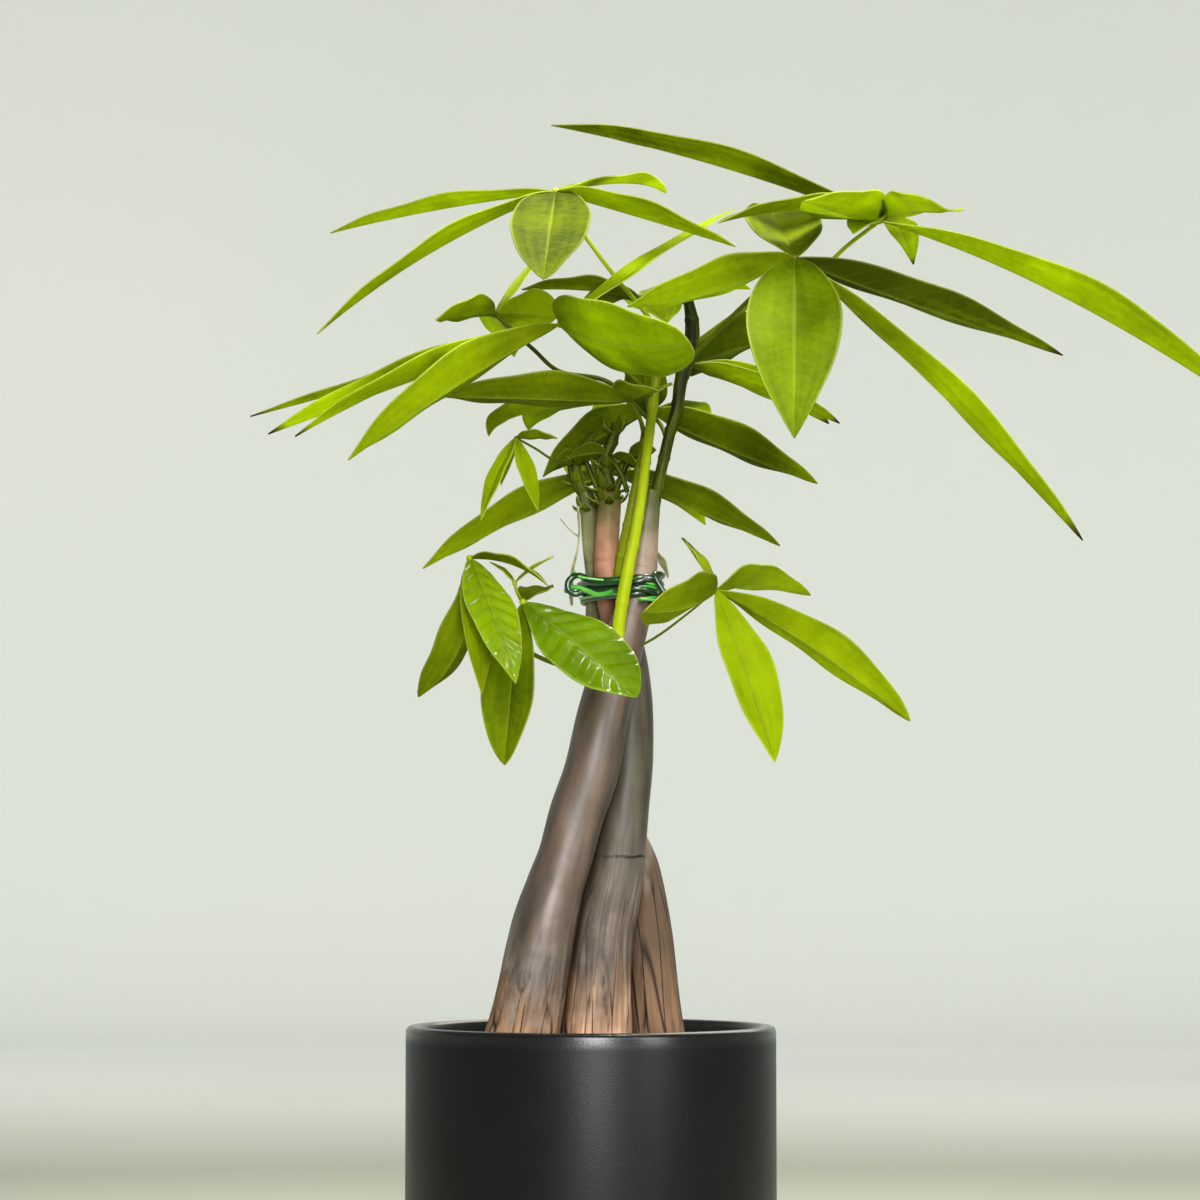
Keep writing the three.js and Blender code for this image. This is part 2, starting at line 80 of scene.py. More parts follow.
# %% [markdown]
# ## Colours and nodes
# Colours are picked as sRGB hex values, the way a colour picker shows them, and the shader needs them
# linear. One short function adds a node with its settings and its links. A texture's scale counts how
# often its pattern repeats in a metre, so a pattern that repeats every 2 mm has a scale of 500.

# %% Colour and node helpers
def linear(hex_value):
    """An sRGB hex colour as a linear RGBA."""
    shares = [int(hex_value[i : i + 2], 16) / 255 for i in (1, 3, 5)]
    straight = [s / 12.92 if s <= 0.04045 else ((s + 0.055) / 1.055) ** 2.4 for s in shares]
    return (*straight, 1.0)


def add_node(tree, kind, inputs=None, **settings):
    """Adds a node. inputs gives a value or another node's output for a socket, by name or number."""
    node = tree.nodes.new(kind)
    for key, value in settings.items():
        setattr(node, key, value)
    for key, value in (inputs or {}).items():
        if isinstance(value, bpy.types.NodeSocket):
            tree.links.new(value, node.inputs[key])
        else:
            node.inputs[key].default_value = value
    return node


def new_material(name):
    """An empty material with only its output node."""
    material = bpy.data.materials.new(name)
    material.use_nodes = True
    material.node_tree.nodes.clear()
    output = material.node_tree.nodes.new("ShaderNodeOutputMaterial")
    return material, material.node_tree, output


print("charcoal is", [round(c, 3) for c in linear("#2b2829")[:3]])

# %% [markdown]
# ## Unglazed stoneware for the pot
# The pot is matt charcoal stoneware: a coloured clay body under a dull engobe. Such a surface is
# rough enough to spread a lamp into a soft vertical band. The clay gives it a faint grain, 0.7 mm
# apart, and paler flecks about 2 mm apart. It is slightly smoother in patches where it was handled,
# and its lip has been polished by a sponge.

# %% Stoneware
LIP_POLISH_FROM = 119
LIP_POLISH_TO = 122


def charcoal_stoneware():
    """Dull and nearly black, with a soft wide highlight that tightens on the lip."""
    material, tree, output = new_material("charcoal stoneware")
    place = add_node(tree, "ShaderNodeTexCoord").outputs["Object"]
    cloud = add_node(tree, "ShaderNodeTexNoise", {"Vector": place, "Scale": 26.0, "Detail": 4.0})
    grain = add_node(tree, "ShaderNodeTexNoise", {"Vector": place, "Scale": 1500.0, "Detail": 3.0})
    fleck = add_node(tree, "ShaderNodeTexVoronoi", {"Vector": place, "Scale": 420.0})
    flecks = add_node(
        tree, "ShaderNodeMapRange", {0: fleck.outputs["Distance"], 1: 0.05, 2: 0.16, 3: 0.35, 4: 0.0}
    )
    height = add_node(tree, "ShaderNodeSeparateXYZ", {0: place})
    lip = add_node(
        tree,
        "ShaderNodeMapRange",
        {0: height.outputs["Z"], 1: LIP_POLISH_FROM * MM, 2: LIP_POLISH_TO * MM, 3: 0.0, 4: 1.0},
    )

    colour = linear("#090808")
    for share, over in ((cloud.outputs["Fac"], "#0f0d0e"), (flecks.outputs[0], "#2b282a")):
        colour = add_node(
            tree, "ShaderNodeMix", {0: share, 6: colour, 7: linear(over)}, data_type="RGBA"
        ).outputs[2]
    body_rough = add_node(
        tree, "ShaderNodeMapRange", {0: cloud.outputs["Fac"], 1: 0.3, 2: 0.7, 3: 0.34, 4: 0.42}
    )
    rough = add_node(tree, "ShaderNodeMix", {0: lip.outputs[0], 2: body_rough.outputs[0], 3: 0.25})
    shine = add_node(tree, "ShaderNodeMapRange", {0: lip.outputs[0], 1: 0.0, 2: 1.0, 3: 0.165, 4: 0.4})
    bump = add_node(
        tree, "ShaderNodeBump", {"Strength": 0.12, "Distance": 0.0004, "Height": grain.outputs["Fac"]}
    )
    shader = add_node(
        tree,
        "ShaderNodeBsdfPrincipled",
        {
            "Base Color": colour,
            "Roughness": rough.outputs[0],
            "Normal": bump.outputs["Normal"],
            "IOR": 1.5,
            "Specular IOR Level": shine.outputs[0],
        },
    )
    tree.links.new(shader.outputs[0], output.inputs["Surface"])
    return material


stoneware = charcoal_stoneware()
print("made", stoneware.name)

# %% [markdown]
# ## Pot
# A straight cylinder pot is cast in one piece: a wall about 6 mm thick, a flat foot and a small
# rounded lip. It could be spun from a profile. Starting from a cylinder is closer to how it reads by
# eye: inset the top, push the inside down, then round the edges that a potter would sponge.

# %% Pick by place or normal
TOUCH = 1e-5


def pick(piece, faces=None, edges=None):
    """In edit mode, selects the faces or edges that pass a test and nothing else."""
    bpy.ops.object.mode_set(mode="OBJECT")
    mesh = piece.data
    for group in (mesh.vertices, mesh.edges, mesh.polygons):
        group.foreach_set("select", [False] * len(group))
    if faces:
        for face in mesh.polygons:
            face.select = faces(face)
    if edges:
        for edge in mesh.edges:
            ends = [mesh.vertices[i].co for i in edge.vertices]
            edge.select = edges(ends)
    bpy.ops.object.mode_set(mode="EDIT")


def runs_round(ends, height):
    """Whether an edge lies at this height and runs round the pot, not across its wall."""
    level = all(abs(end.z - height * MM) < TOUCH for end in ends)
    return level and abs(ends[0].xy.length - ends[1].xy.length) < TOUCH


print("heights are the same within", round(TOUCH / MM, 3), "mm")

# %% Pot
POT_RADIUS = 67.5
POT_HEIGHT = 125
POT_WALL = 6.2
POT_FLOOR = 7
LIP_ROUND = 2.2
BASE_ROUND = 2.5

bpy.ops.object.select_all(action="DESELECT")
bpy.ops.mesh.primitive_cylinder_add(
    vertices=144, radius=POT_RADIUS * MM, depth=POT_HEIGHT * MM, location=(0, 0, POT_HEIGHT / 2 * MM)
)
pot = bpy.context.object
pot.name = "pot_stoneware"
bpy.ops.object.transform_apply(location=True, rotation=True, scale=True)
bpy.ops.object.mode_set(mode="EDIT")
bpy.ops.mesh.select_mode(type="FACE")
pick(pot, faces=lambda face: face.normal.z > 0.9)
bpy.ops.mesh.inset(thickness=POT_WALL * MM)
bpy.ops.mesh.extrude_region_move(
    TRANSFORM_OT_translate={"value": (0, 0, -(POT_HEIGHT - POT_FLOOR) * MM)}
)
bpy.ops.mesh.select_mode(type="EDGE")
pick(pot, edges=lambda ends: runs_round(ends, POT_HEIGHT))
bpy.ops.mesh.bevel(offset=LIP_ROUND * MM, segments=5, profile=0.5, affect="EDGES")
pick(pot, edges=lambda ends: runs_round(ends, 0))
bpy.ops.mesh.bevel(offset=BASE_ROUND * MM, segments=4, profile=0.5, affect="EDGES")
bpy.ops.object.mode_set(mode="OBJECT")
bpy.ops.object.shade_smooth_by_angle(angle=math.radians(35))
pot.data.materials.append(stoneware)
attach(pot, "root")
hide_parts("pot")
print("pot", [round(value / MM, 1) for value in pot.dimensions])

# %% [markdown]
# ## Potting mix
# Potting mix is composted bark with white perlite in it. It lies a finger's width under the rim, with
# an uneven top. The plug is a disc with its top broken into rings and pushed about, and its crumbs are
# one chip copied many times, each with a few faces. The mix is clumped every 4 mm, with fibres 2 mm
# across, and perlite has been blown into pores 0.7 mm across.

# %% Composted bark
def bark_compost():
    """Dark brown, crumbly and without shine."""
    material, tree, output = new_material("composted bark potting mix")
    place = add_node(tree, "ShaderNodeTexCoord").outputs["Object"]
    clump = add_node(tree, "ShaderNodeTexNoise", {"Vector": place, "Scale": 240.0, "Detail": 8.0})
    crumb = add_node(tree, "ShaderNodeTexVoronoi", {"Vector": place, "Scale": 520.0})
    dark = add_node(
        tree,
        "ShaderNodeMix",
        {0: clump.outputs["Fac"], 6: linear("#1c130d"), 7: linear("#5a4230")},
        data_type="RGBA",
    )
    colour = add_node(
        tree,
        "ShaderNodeMix",
        {0: 0.35, 6: dark.outputs[2], 7: crumb.outputs["Color"]},
        data_type="RGBA",
        blend_type="SOFT_LIGHT",
    )
    height = add_node(
        tree, "ShaderNodeMath", {0: clump.outputs["Fac"], 1: crumb.outputs["Distance"]}, operation="ADD"
    )
    bump = add_node(
        tree, "ShaderNodeBump", {"Strength": 0.9, "Distance": 0.0012, "Height": height.outputs[0]}
    )
    shader = add_node(
        tree,
        "ShaderNodeBsdfPrincipled",
        {"Base Color": colour.outputs[2], "Roughness": 0.92, "Normal": bump.outputs["Normal"]},
    )
    tree.links.new(shader.outputs[0], output.inputs["Surface"])
    return material


compost = bark_compost()
print("made", compost.name)

# %% Perlite
def perlite():
    """Chalky white and full of pores."""
    material, tree, output = new_material("expanded perlite")
    place = add_node(tree, "ShaderNodeTexCoord").outputs["Object"]
    pores = add_node(tree, "ShaderNodeTexNoise", {"Vector": place, "Scale": 1400.0, "Detail": 4.0})
    colour = add_node(
        tree,
        "ShaderNodeMix",
        {0: pores.outputs["Fac"], 6: linear("#a39a8c"), 7: linear("#e6e1d6")},
        data_type="RGBA",
    )
    bump = add_node(
        tree, "ShaderNodeBump", {"Strength": 0.5, "Distance": 0.0003, "Height": pores.outputs["Fac"]}
    )
    shader = add_node(
        tree,
        "ShaderNodeBsdfPrincipled",
        {"Base Color": colour.outputs[2], "Roughness": 0.85, "Normal": bump.outputs["Normal"]},
    )
    tree.links.new(shader.outputs[0], output.inputs["Surface"])
    return material


perlite_grain = perlite()
print("made", perlite_grain.name)

# %% Potting mix plug
SOIL_TOP = 112
SOIL_BOTTOM = 7.3
SOIL_RADIUS = 61
SOIL_RINGS = 22
SOIL_RING_WIDTH = 2.7
rng = np.random.default_rng(7)

bpy.ops.object.select_all(action="DESELECT")
bpy.ops.mesh.primitive_cylinder_add(
    vertices=96,
    radius=SOIL_RADIUS * MM,
    depth=(SOIL_TOP - SOIL_BOTTOM) * MM,
    location=(0, 0, (SOIL_TOP + SOIL_BOTTOM) / 2 * MM),
)
soil = bpy.context.object
soil.name = "potting_mix"
bpy.ops.object.transform_apply(location=True, rotation=True, scale=True)
bpy.ops.object.mode_set(mode="EDIT")
bpy.ops.mesh.select_mode(type="FACE")
pick(soil, faces=lambda face: face.normal.z > 0.9)
for _ in range(SOIL_RINGS):
    bpy.ops.mesh.inset(thickness=SOIL_RING_WIDTH * MM)
bpy.ops.object.mode_set(mode="OBJECT")

# Broad lumps 22 mm apart, with small ones 5 mm apart on them
for vertex in soil.data.vertices:
    if vertex.co.z > (SOIL_TOP - 1) * MM:
        lump = noise.noise(vertex.co * 45) * 1.3 + noise.noise(vertex.co * 190) * 0.9
        vertex.co.z = (SOIL_TOP + lump) * MM
soil.data.materials.append(compost)
soil.data.materials.append(perlite_grain)
print("soil faces", len(soil.data.polygons))

# %% Crumbs on the mix
CRUMBS = 420
CRUMB_REACH = 0.96
PERLITE_EVERY = 9

bpy.ops.object.select_all(action="DESELECT")
bpy.ops.mesh.primitive_ico_sphere_add(subdivisions=1, radius=1 * MM)
chip = bpy.context.object
crumbs = [soil]
for number in range(CRUMBS):
    crumb = chip.copy()
    crumb.data = chip.data.copy()
    bpy.context.collection.objects.link(crumb)
    reach = SOIL_RADIUS * CRUMB_REACH * math.sqrt(rng.random())
    turn = rng.random() * 2 * math.pi
    size = rng.uniform(0.7, 2.3, 3) * (1.0, 1.0, 0.55)
    for vertex in crumb.data.vertices:
        rough = 1 + 0.35 * noise.noise(vertex.co * 900 + Vector((number, 0, 0)))
        vertex.co = Vector((vertex.co[i] * size[i] * rough for i in range(3)))
    crumb.rotation_euler = rng.uniform(-0.6, 0.6, 3) + (0, 0, turn * 3)
    crumb.location = (reach * math.cos(turn) * MM, reach * math.sin(turn) * MM, (SOIL_TOP + 0.6) * MM)
    crumb.data.materials.append(perlite_grain if number % PERLITE_EVERY == 0 else compost)
    crumbs.append(crumb)
bpy.ops.object.select_all(action="DESELECT")
for crumb in crumbs:
    crumb.select_set(True)
bpy.context.view_layer.objects.active = soil
bpy.ops.object.join()
bpy.data.objects.remove(chip)
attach(soil, "root")
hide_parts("soil")
print("potting mix faces", len(soil.data.polygons))

# %% [markdown]
# ## Bark
# A money tree's stem has three barks. The upper one is young: smooth, taupe with a purple cast, and
# it keeps a soft sheen. Lower down it has weathered grey and fibrous. Near the soil the old cork has
# dried pale and split lengthwise, so it is matt tan with thin dark cracks. Right at its top a stem
# turns green. The pattern follows the stem: each point keeps where it would lie if the stem were
# pulled straight, in an attribute named straight, and the material reads that.
# Noise that is squeezed along the stem comes out as streaks. The fibres are 2 mm wide and 30 mm long,
# the streaks 6 mm by 35 mm, the blotches 10 mm by 18 mm, and the tongues between two barks 8 mm by
# 50 mm. Leaf scars are rings 4 mm apart, and the cracks are 6 mm apart. Real fibres are finer, and are
# drawn this coarse so that they show.

# %% Bark noises and shares
# How far each noise is squeezed across and along the stem, its scale and its detail
BARK_NOISES = {
    "tongue": ((1.0, 1.0, 0.15), 130.0, 3.0),
    "fibre": ((1.0, 1.0, 0.06), 520.0, 7.0),
    "streak": ((1.0, 1.0, 0.18), 160.0, 4.0),
    "blotch": ((1.0, 1.0, 0.6), 95.0, 5.0),
    "ring": ((0.12, 0.12, 1.0), 260.0, 3.0),
}

# What each share is read from, the two values it changes between, and what it changes from and to
BARK_SHARES = {
    "wander": ("patch", 0.3, 0.7, -0.009, 0.009),
    "ragged": ("tongue", 0.35, 0.65, -0.009, 0.009),
    "streaks": ("streak", 0.36, 0.66, 0.0, 1.0),
    "mottle": ("blotch", 0.38, 0.62, 0.0, 1.0),
    "young_mottle": ("blotch", 0.38, 0.62, 0.0, 0.35),
    "grey_mottle": ("blotch", 0.38, 0.62, 0.0, 0.65),
    "cork_mottle": ("blotch", 0.38, 0.62, 0.0, 0.75),
    "rings": ("ring", 0.58, 0.7, 0.0, 0.22),
    "pale": ("patch", 0.5, 0.68, 0.0, 0.5),
    "grey_fibres": ("fibre", 0.3, 0.72, 0.0, 1.0),
    "cork_fibres": ("fibre", 0.3, 0.7, 0.0, 1.0),
    "cork_shade": ("height", 0.125, 0.155, 0.0, 0.85),
    "cracks": ("crack", 0.0, 0.042, 1.0, 0.0),
    "here_and_there": ("blotch", 0.37, 0.47, 0.0, 1.0),
    "broken": ("blotch", 0.36, 0.5, 0.25, 1.0),
    "high_sheen": ("height", 0.25, 0.28, 1.0, 0.4),
    # The sheen fades where the bark is painted with shade
    "sheen_in_shade": ("painted_shade", 0.0, 0.6, 1.0, 0.1),
}


print("bark has", len(BARK_NOISES), "noises and", len(BARK_SHARES), "shares")

# %% Bark patterns
def bark_patterns(tree):
    """The bark's patterns and shares by name."""
    straight = add_node(tree, "ShaderNodeAttribute", attribute_name="straight").outputs["Vector"]
    place = add_node(tree, "ShaderNodeTexCoord").outputs["Object"]
    bark = {
        "height": add_node(tree, "ShaderNodeSeparateXYZ", {0: place}).outputs["Z"],
        "painted_shade": add_node(tree, "ShaderNodeAttribute", attribute_name="painted_shade").outputs["Fac"],
    }
    patch = add_node(tree, "ShaderNodeTexNoise", {"Vector": place, "Scale": 60.0, "Detail": 4.0})
    bark["patch"] = patch.outputs["Fac"]
    for name, (squeeze, scale, detail) in BARK_NOISES.items():
        drawn = add_node(tree, "ShaderNodeMapping", {"Vector": straight, "Scale": squeeze})
        bark[name] = add_node(
            tree, "ShaderNodeTexNoise", {"Vector": drawn.outputs[0], "Scale": scale, "Detail": detail}
        ).outputs["Fac"]
    drawn = add_node(tree, "ShaderNodeMapping", {"Vector": straight, "Scale": (1.0, 1.0, 0.05)})
    bark["crack"] = add_node(
        tree,
        "ShaderNodeTexVoronoi",
        {"Vector": drawn.outputs[0], "Scale": 170.0},
        feature="DISTANCE_TO_EDGE",
    ).outputs["Distance"]
    for name, (source, low, high, start, end) in BARK_SHARES.items():
        bark[name] = add_node(
            tree, "ShaderNodeMapRange", {0: bark[source], 1: low, 2: high, 3: start, 4: end}
        ).outputs[0]
    return bark


print("bark patterns follow the attributes straight and hollow")

# %% Bark zones and cracks
def bark_zones(tree, bark, cork_top, grey_top):
    """How much of each bark a point has, by height. The edges between them wander and are ragged."""
    level = add_node(
        tree, "ShaderNodeMath", {0: bark["height"], 1: bark["wander"]}, operation="ADD"
    ).outputs[0]
    ragged = add_node(tree, "ShaderNodeMath", {0: level, 1: bark["ragged"]}, operation="ADD").outputs[0]
    zones = {}
    for name, source, low, high, start, end in (
        ("cork", ragged, cork_top - 0.007, cork_top + 0.009, 1.0, 0.0),
        ("grey", ragged, grey_top - 0.016, grey_top + 0.012, 1.0, 0.0),
        ("crown", level, 0.262, 0.292, 0.0, 1.0),
        ("green", level, 0.301, 0.316, 0.0, 0.9),
    ):
        zones[name] = add_node(
            tree, "ShaderNodeMapRange", {0: source, 1: low, 2: high, 3: start, 4: end}
        ).outputs[0]
    part_grey = add_node(tree, "ShaderNodeMath", {0: zones["grey"], 1: 0.45}, operation="MULTIPLY")
    zones["old"] = add_node(
        tree, "ShaderNodeMath", {0: zones["cork"], 1: part_grey.outputs[0]}, operation="MAXIMUM"
    ).outputs[0]
    return zones


def bark_cracks(tree, bark, old, check):
    """Cracks along the old bark, here and there, and one check across the stem at a height."""
    along = bark["cracks"]
    for share in (bark["here_and_there"], old):
        along = add_node(tree, "ShaderNodeMath", {0: along, 1: share}, operation="MULTIPLY").outputs[0]
    away = add_node(
        tree, "ShaderNodeMath", {0: bark["wander"], 1: 0.12, 2: bark["height"]}, operation="MULTIPLY_ADD"
    )
    away = add_node(tree, "ShaderNodeMath", {0: away.outputs[0], 1: check}, operation="SUBTRACT")
    away = add_node(tree, "ShaderNodeMath", {0: away.outputs[0]}, operation="ABSOLUTE")
    across = add_node(
        tree, "ShaderNodeMapRange", {0: away.outputs[0], 1: 0.00025, 2: 0.0007, 3: 1.0, 4: 0.0}
    )
    across = add_node(
        tree, "ShaderNodeMath", {0: across.outputs[0], 1: bark["broken"]}, operation="MULTIPLY"
    )
    return add_node(
        tree, "ShaderNodeMath", {0: along, 1: across.outputs[0]}, operation="MAXIMUM"
    ).outputs[0]


print("bark zones: cork, grey, young, crown, green")

# %% Bark material
def money_tree_bark(name, young, top, dry, cork_top, grey_top, check=0.0, sheen=0.9):
    """Bark that turns with height from split cork into grey and then smooth young bark, and again near
    the tie. young, top and dry each hold a dark and a light colour, and the heights are in metres.
    check is the height of a crack across the stem, or 0. sheen is how much the young bark shines."""
    material, tree, output = new_material(name)
    bark = bark_patterns(tree)
    zones = bark_zones(tree, bark, cork_top, grey_top)
    crack = bark_cracks(tree, bark, zones["old"], check)

    # Each layer goes over a coat: how much of it shows, and its colour or another finished coat
    coats = {
        "crown": linear(top[0]),
        "weathered": linear("#3a2f27"),
        "cork": linear(dry[0]),
        "stem": linear(young[0]),
    }
    for coat, share, over in (
        ("crown", bark["mottle"], top[1]),
        ("weathered", bark["grey_fibres"], "#72665c"),
        ("weathered", bark["grey_mottle"], "#41362e"),
        ("weathered", bark["pale"], "#978a7e"),
        ("cork", bark["cork_fibres"], dry[1]),
        ("cork", bark["cork_mottle"], "#7d5f49"),
        ("cork", bark["pale"], dry[1]),
        ("cork", bark["cork_shade"], "#45372a"),
        ("stem", bark["streaks"], young[1]),
        ("stem", zones["crown"], "crown"),
        ("stem", bark["rings"], "#2f2420"),
        ("stem", bark["young_mottle"], "#3f322b"),
        ("stem", zones["grey"], "weathered"),
        ("stem", zones["cork"], "cork"),
        ("stem", zones["green"], "#3a4212"),
        ("stem", crack, "#1c110a"),
        # Painted shade in the creases between stems and in the bark's splits
        ("stem", bark["painted_shade"], "#1f140d"),
    ):
        laid = coats[over] if over in coats else linear(over)
        coats[coat] = add_node(
            tree, "ShaderNodeMix", {0: share, 6: coats[coat], 7: laid}, data_type="RGBA"
        ).outputs[2]

    ridges = add_node(tree, "ShaderNodeMath", {0: bark["fibre"], 1: crack}, operation="SUBTRACT")
    worn = add_node(
        tree, "ShaderNodeMath", {0: ridges.outputs[0], 1: zones["old"]}, operation="MULTIPLY"
    )
    relief = add_node(
        tree, "ShaderNodeMath", {0: bark["blotch"], 1: 0.35, 2: worn.outputs[0]}, operation="MULTIPLY_ADD"
    )
    bump = add_node(
        tree, "ShaderNodeBump", {"Strength": 0.7, "Distance": 0.0009, "Height": relief.outputs[0]}
    )
    rough = add_node(tree, "ShaderNodeMapRange", {0: zones["old"], 1: 0.0, 2: 1.0, 3: 0.44, 4: 0.85})
    shine = add_node(
        tree, "ShaderNodeMapRange", {0: zones["old"], 1: 0.0, 2: 1.0, 3: sheen, 4: 0.3}
    ).outputs[0]
    for share in (bark["high_sheen"], bark["sheen_in_shade"]):
        shine = add_node(tree, "ShaderNodeMath", {0: shine, 1: share}, operation="MULTIPLY").outputs[0]
    shader = add_node(
        tree,
        "ShaderNodeBsdfPrincipled",
        {
            "Base Color": coats["stem"],
            "Roughness": rough.outputs[0],
            "Specular IOR Level": shine,
            "Normal": bump.outputs["Normal"],
            "IOR": 1.45,
        },
    )
    tree.links.new(shader.outputs[0], output.inputs["Surface"])
    return material


print("bark is cork, grey or young by height, and green at its top")

# %% The three stems' barks
barks = {
    "stem_left": money_tree_bark(
        "grey-brown money tree bark",
        young=("#2c211a", "#5f4b3d"),
        top=("#5f4b40", "#9c8574"),
        dry=("#573f2c", "#a78561"),
        cork_top=0.137,
        grey_top=0.158,
    ),
    "stem_centre": money_tree_bark(
        "reddish money tree bark",
        young=("#322d24", "#524e42"),
        top=("#83503a", "#b8886c"),
        dry=("#7a5a42", "#d9b291"),
        cork_top=0.140,
        grey_top=0.184,
        check=0.1857,
        sheen=0.3,
    ),
    "stem_right": money_tree_bark(
        "olive money tree bark",
        young=("#43351f", "#6b583e"),
        top=("#464b20", "#a8a878"),
        dry=("#42311f", "#795f46"),
        cork_top=0.190,
        grey_top=0.196,
    ),
}
print("barks", [bark.name for bark in barks.values()])

# %% [markdown]
# ## Round stems along a line
# A stem is a tube that bends and tapers. A curve with a bevel could make it, but then its surface has
# no ring to push about. Here a flat grid is rolled into a tube round a smooth line, like a sheet of
# clay round a wire: one edge of the grid goes along the line and the other round it. The seam is
# merged and the two ends are filled.

# %% Smooth lines
SPAN_STEPS = 24


def smooth_line(points):
    """Close points on the centripetal curve through points, with their radii, all in millimetres."""
    points = np.array(points, float)
    places = points[:, :3]
    before = 2 * places[0] - places[1]
    after = 2 * places[-1] - places[-2]
    control = np.vstack([before, places, after])
    line = []
    for i in range(1, len(control) - 2):
        four = control[i - 1 : i + 3]
        gaps = np.maximum(np.linalg.norm(np.diff(four, axis=0), axis=1) ** 0.5, 1e-4)
        slopes = np.diff(four, axis=0) / gaps[:, None]
        middle = (four[2] - four[0]) / (gaps[0] + gaps[1])
        leave = (slopes[0] - middle + slopes[1]) * gaps[1]
        middle = (four[3] - four[1]) / (gaps[1] + gaps[2])
        arrive = (slopes[1] - middle + slopes[2]) * gaps[1]
        for t in np.linspace(0, 1, SPAN_STEPS, endpoint=False):
            place = (
                four[1]
                + leave * t
                + (-3 * four[1] + 3 * four[2] - 2 * leave - arrive) * t**2
                + (2 * four[1] - 2 * four[2] + leave + arrive) * t**3
            )
            radius = points[i - 1, 3] * (1 - t) + points[i, 3] * t
            line.append([*place, radius])
    line.append(points[-1, :4])
    return np.array(line)


def even_line(points, count):
    """count points at even steps along the smooth line, with radii, and the length so far."""
    line = smooth_line(points)
    steps = np.linalg.norm(np.diff(line[:, :3], axis=0), axis=1)
    walked = np.concatenate([[0], np.cumsum(steps)])
    marks = np.linspace(0, walked[-1], count)
    even = np.column_stack([np.interp(marks, walked, line[:, i]) for i in range(4)])
    return even, marks


print("a straight line's points", even_line([(0, 0, 0, 1), (0, 0, 10, 1)], 3)[0][:, 2])

# %% Read and write a mesh's points
def read_places(mesh):
    """The mesh's points as rows of x, y and z."""
    places = np.empty(len(mesh.vertices) * 3)
    mesh.vertices.foreach_get("co", places)
    return places.reshape(-1, 3)


def write_places(mesh, places):
    """Moves the mesh's points to these places."""
    mesh.vertices.foreach_set("co", np.asarray(places, float).reshape(-1))
    mesh.update()


def keep_values(mesh, name, kind, values):
    """Stores one value, or one vector, for each point of the mesh."""
    stored = mesh.attributes.new(name, kind, "POINT")
    socket = "vector" if kind == "FLOAT_VECTOR" else "value"
    stored.data.foreach_set(socket, np.asarray(values, float).reshape(-1))


print("points can carry values such as straight, hollow, blade and look")

# %% Tubes rolled from a grid
def roll_tube(name, points, around, along, relief=None):
    """A closed tube round the line through points. relief(x, y, s, z) gives how far a point stands
    out, and how much painted shade it gets, where x, y, s is its place on the stem pulled straight."""
    bpy.ops.object.select_all(action="DESELECT")
    bpy.ops.mesh.primitive_grid_add(x_subdivisions=around, y_subdivisions=along, size=2)
    tube = bpy.context.object
    tube.name = name
    grid = read_places(tube.data)
    rows = np.unique(np.round(grid[:, 1], 5))
    line, lengths = even_line(points, len(rows))
    tangents = np.gradient(line[:, :3], axis=0)
    tangents /= np.linalg.norm(tangents, axis=1)[:, None]
    side = np.cross(tangents[0], (0.0, 1.0, 0.0))
    side /= np.linalg.norm(side)
    sides = []
    for tangent in tangents:
        side = side - tangent * side.dot(tangent)
        side = side / np.linalg.norm(side)
        sides.append(side)
    sides = np.array(sides)
    others = np.cross(tangents, sides)
    row = np.searchsorted(rows, np.round(grid[:, 1], 5))
    turn = (grid[:, 0] + 1) * math.pi
    radius = line[row, 3]
    straight = np.column_stack([np.cos(turn) * radius, np.sin(turn) * radius, lengths[row]])
    out = np.zeros(len(grid))
    painted_shade = np.zeros(len(grid))
    if relief:
        for i, (x, y, s) in enumerate(straight):
            out[i], painted_shade[i] = relief(x, y, s, line[row[i], 2])
    reach = (radius + out)[:, None]
    way = sides[row] * np.cos(turn)[:, None] + others[row] * np.sin(turn)[:, None]
    write_places(tube.data, (line[row, :3] + way * reach) * MM)
    keep_values(tube.data, "straight", "FLOAT_VECTOR", straight * MM)
    keep_values(tube.data, "painted_shade", "FLOAT", painted_shade)
    bpy.ops.object.mode_set(mode="EDIT")
    bpy.ops.mesh.select_all(action="SELECT")
    bpy.ops.mesh.remove_doubles(threshold=1e-6)
    bpy.ops.mesh.fill_holes(sides=0)
    bpy.ops.mesh.select_all(action="SELECT")
    bpy.ops.mesh.normals_make_consistent(inside=False)
    bpy.ops.object.mode_set(mode="OBJECT")
    bpy.ops.object.shade_smooth_by_angle(angle=math.radians(50))
    return tube


print("tube helper ready")

# %% [markdown]
# ## Braided stems
# Three young trees are planted together and plaited. The left one crosses in front of the others on
# its way up to the right, the middle one shows between them, and the third passes behind. The numbers
# are the stem's line and its radius, in millimetres. The cork splits are cut into the mesh where
# a noise crosses zero, because such a line runs on like a crack does.

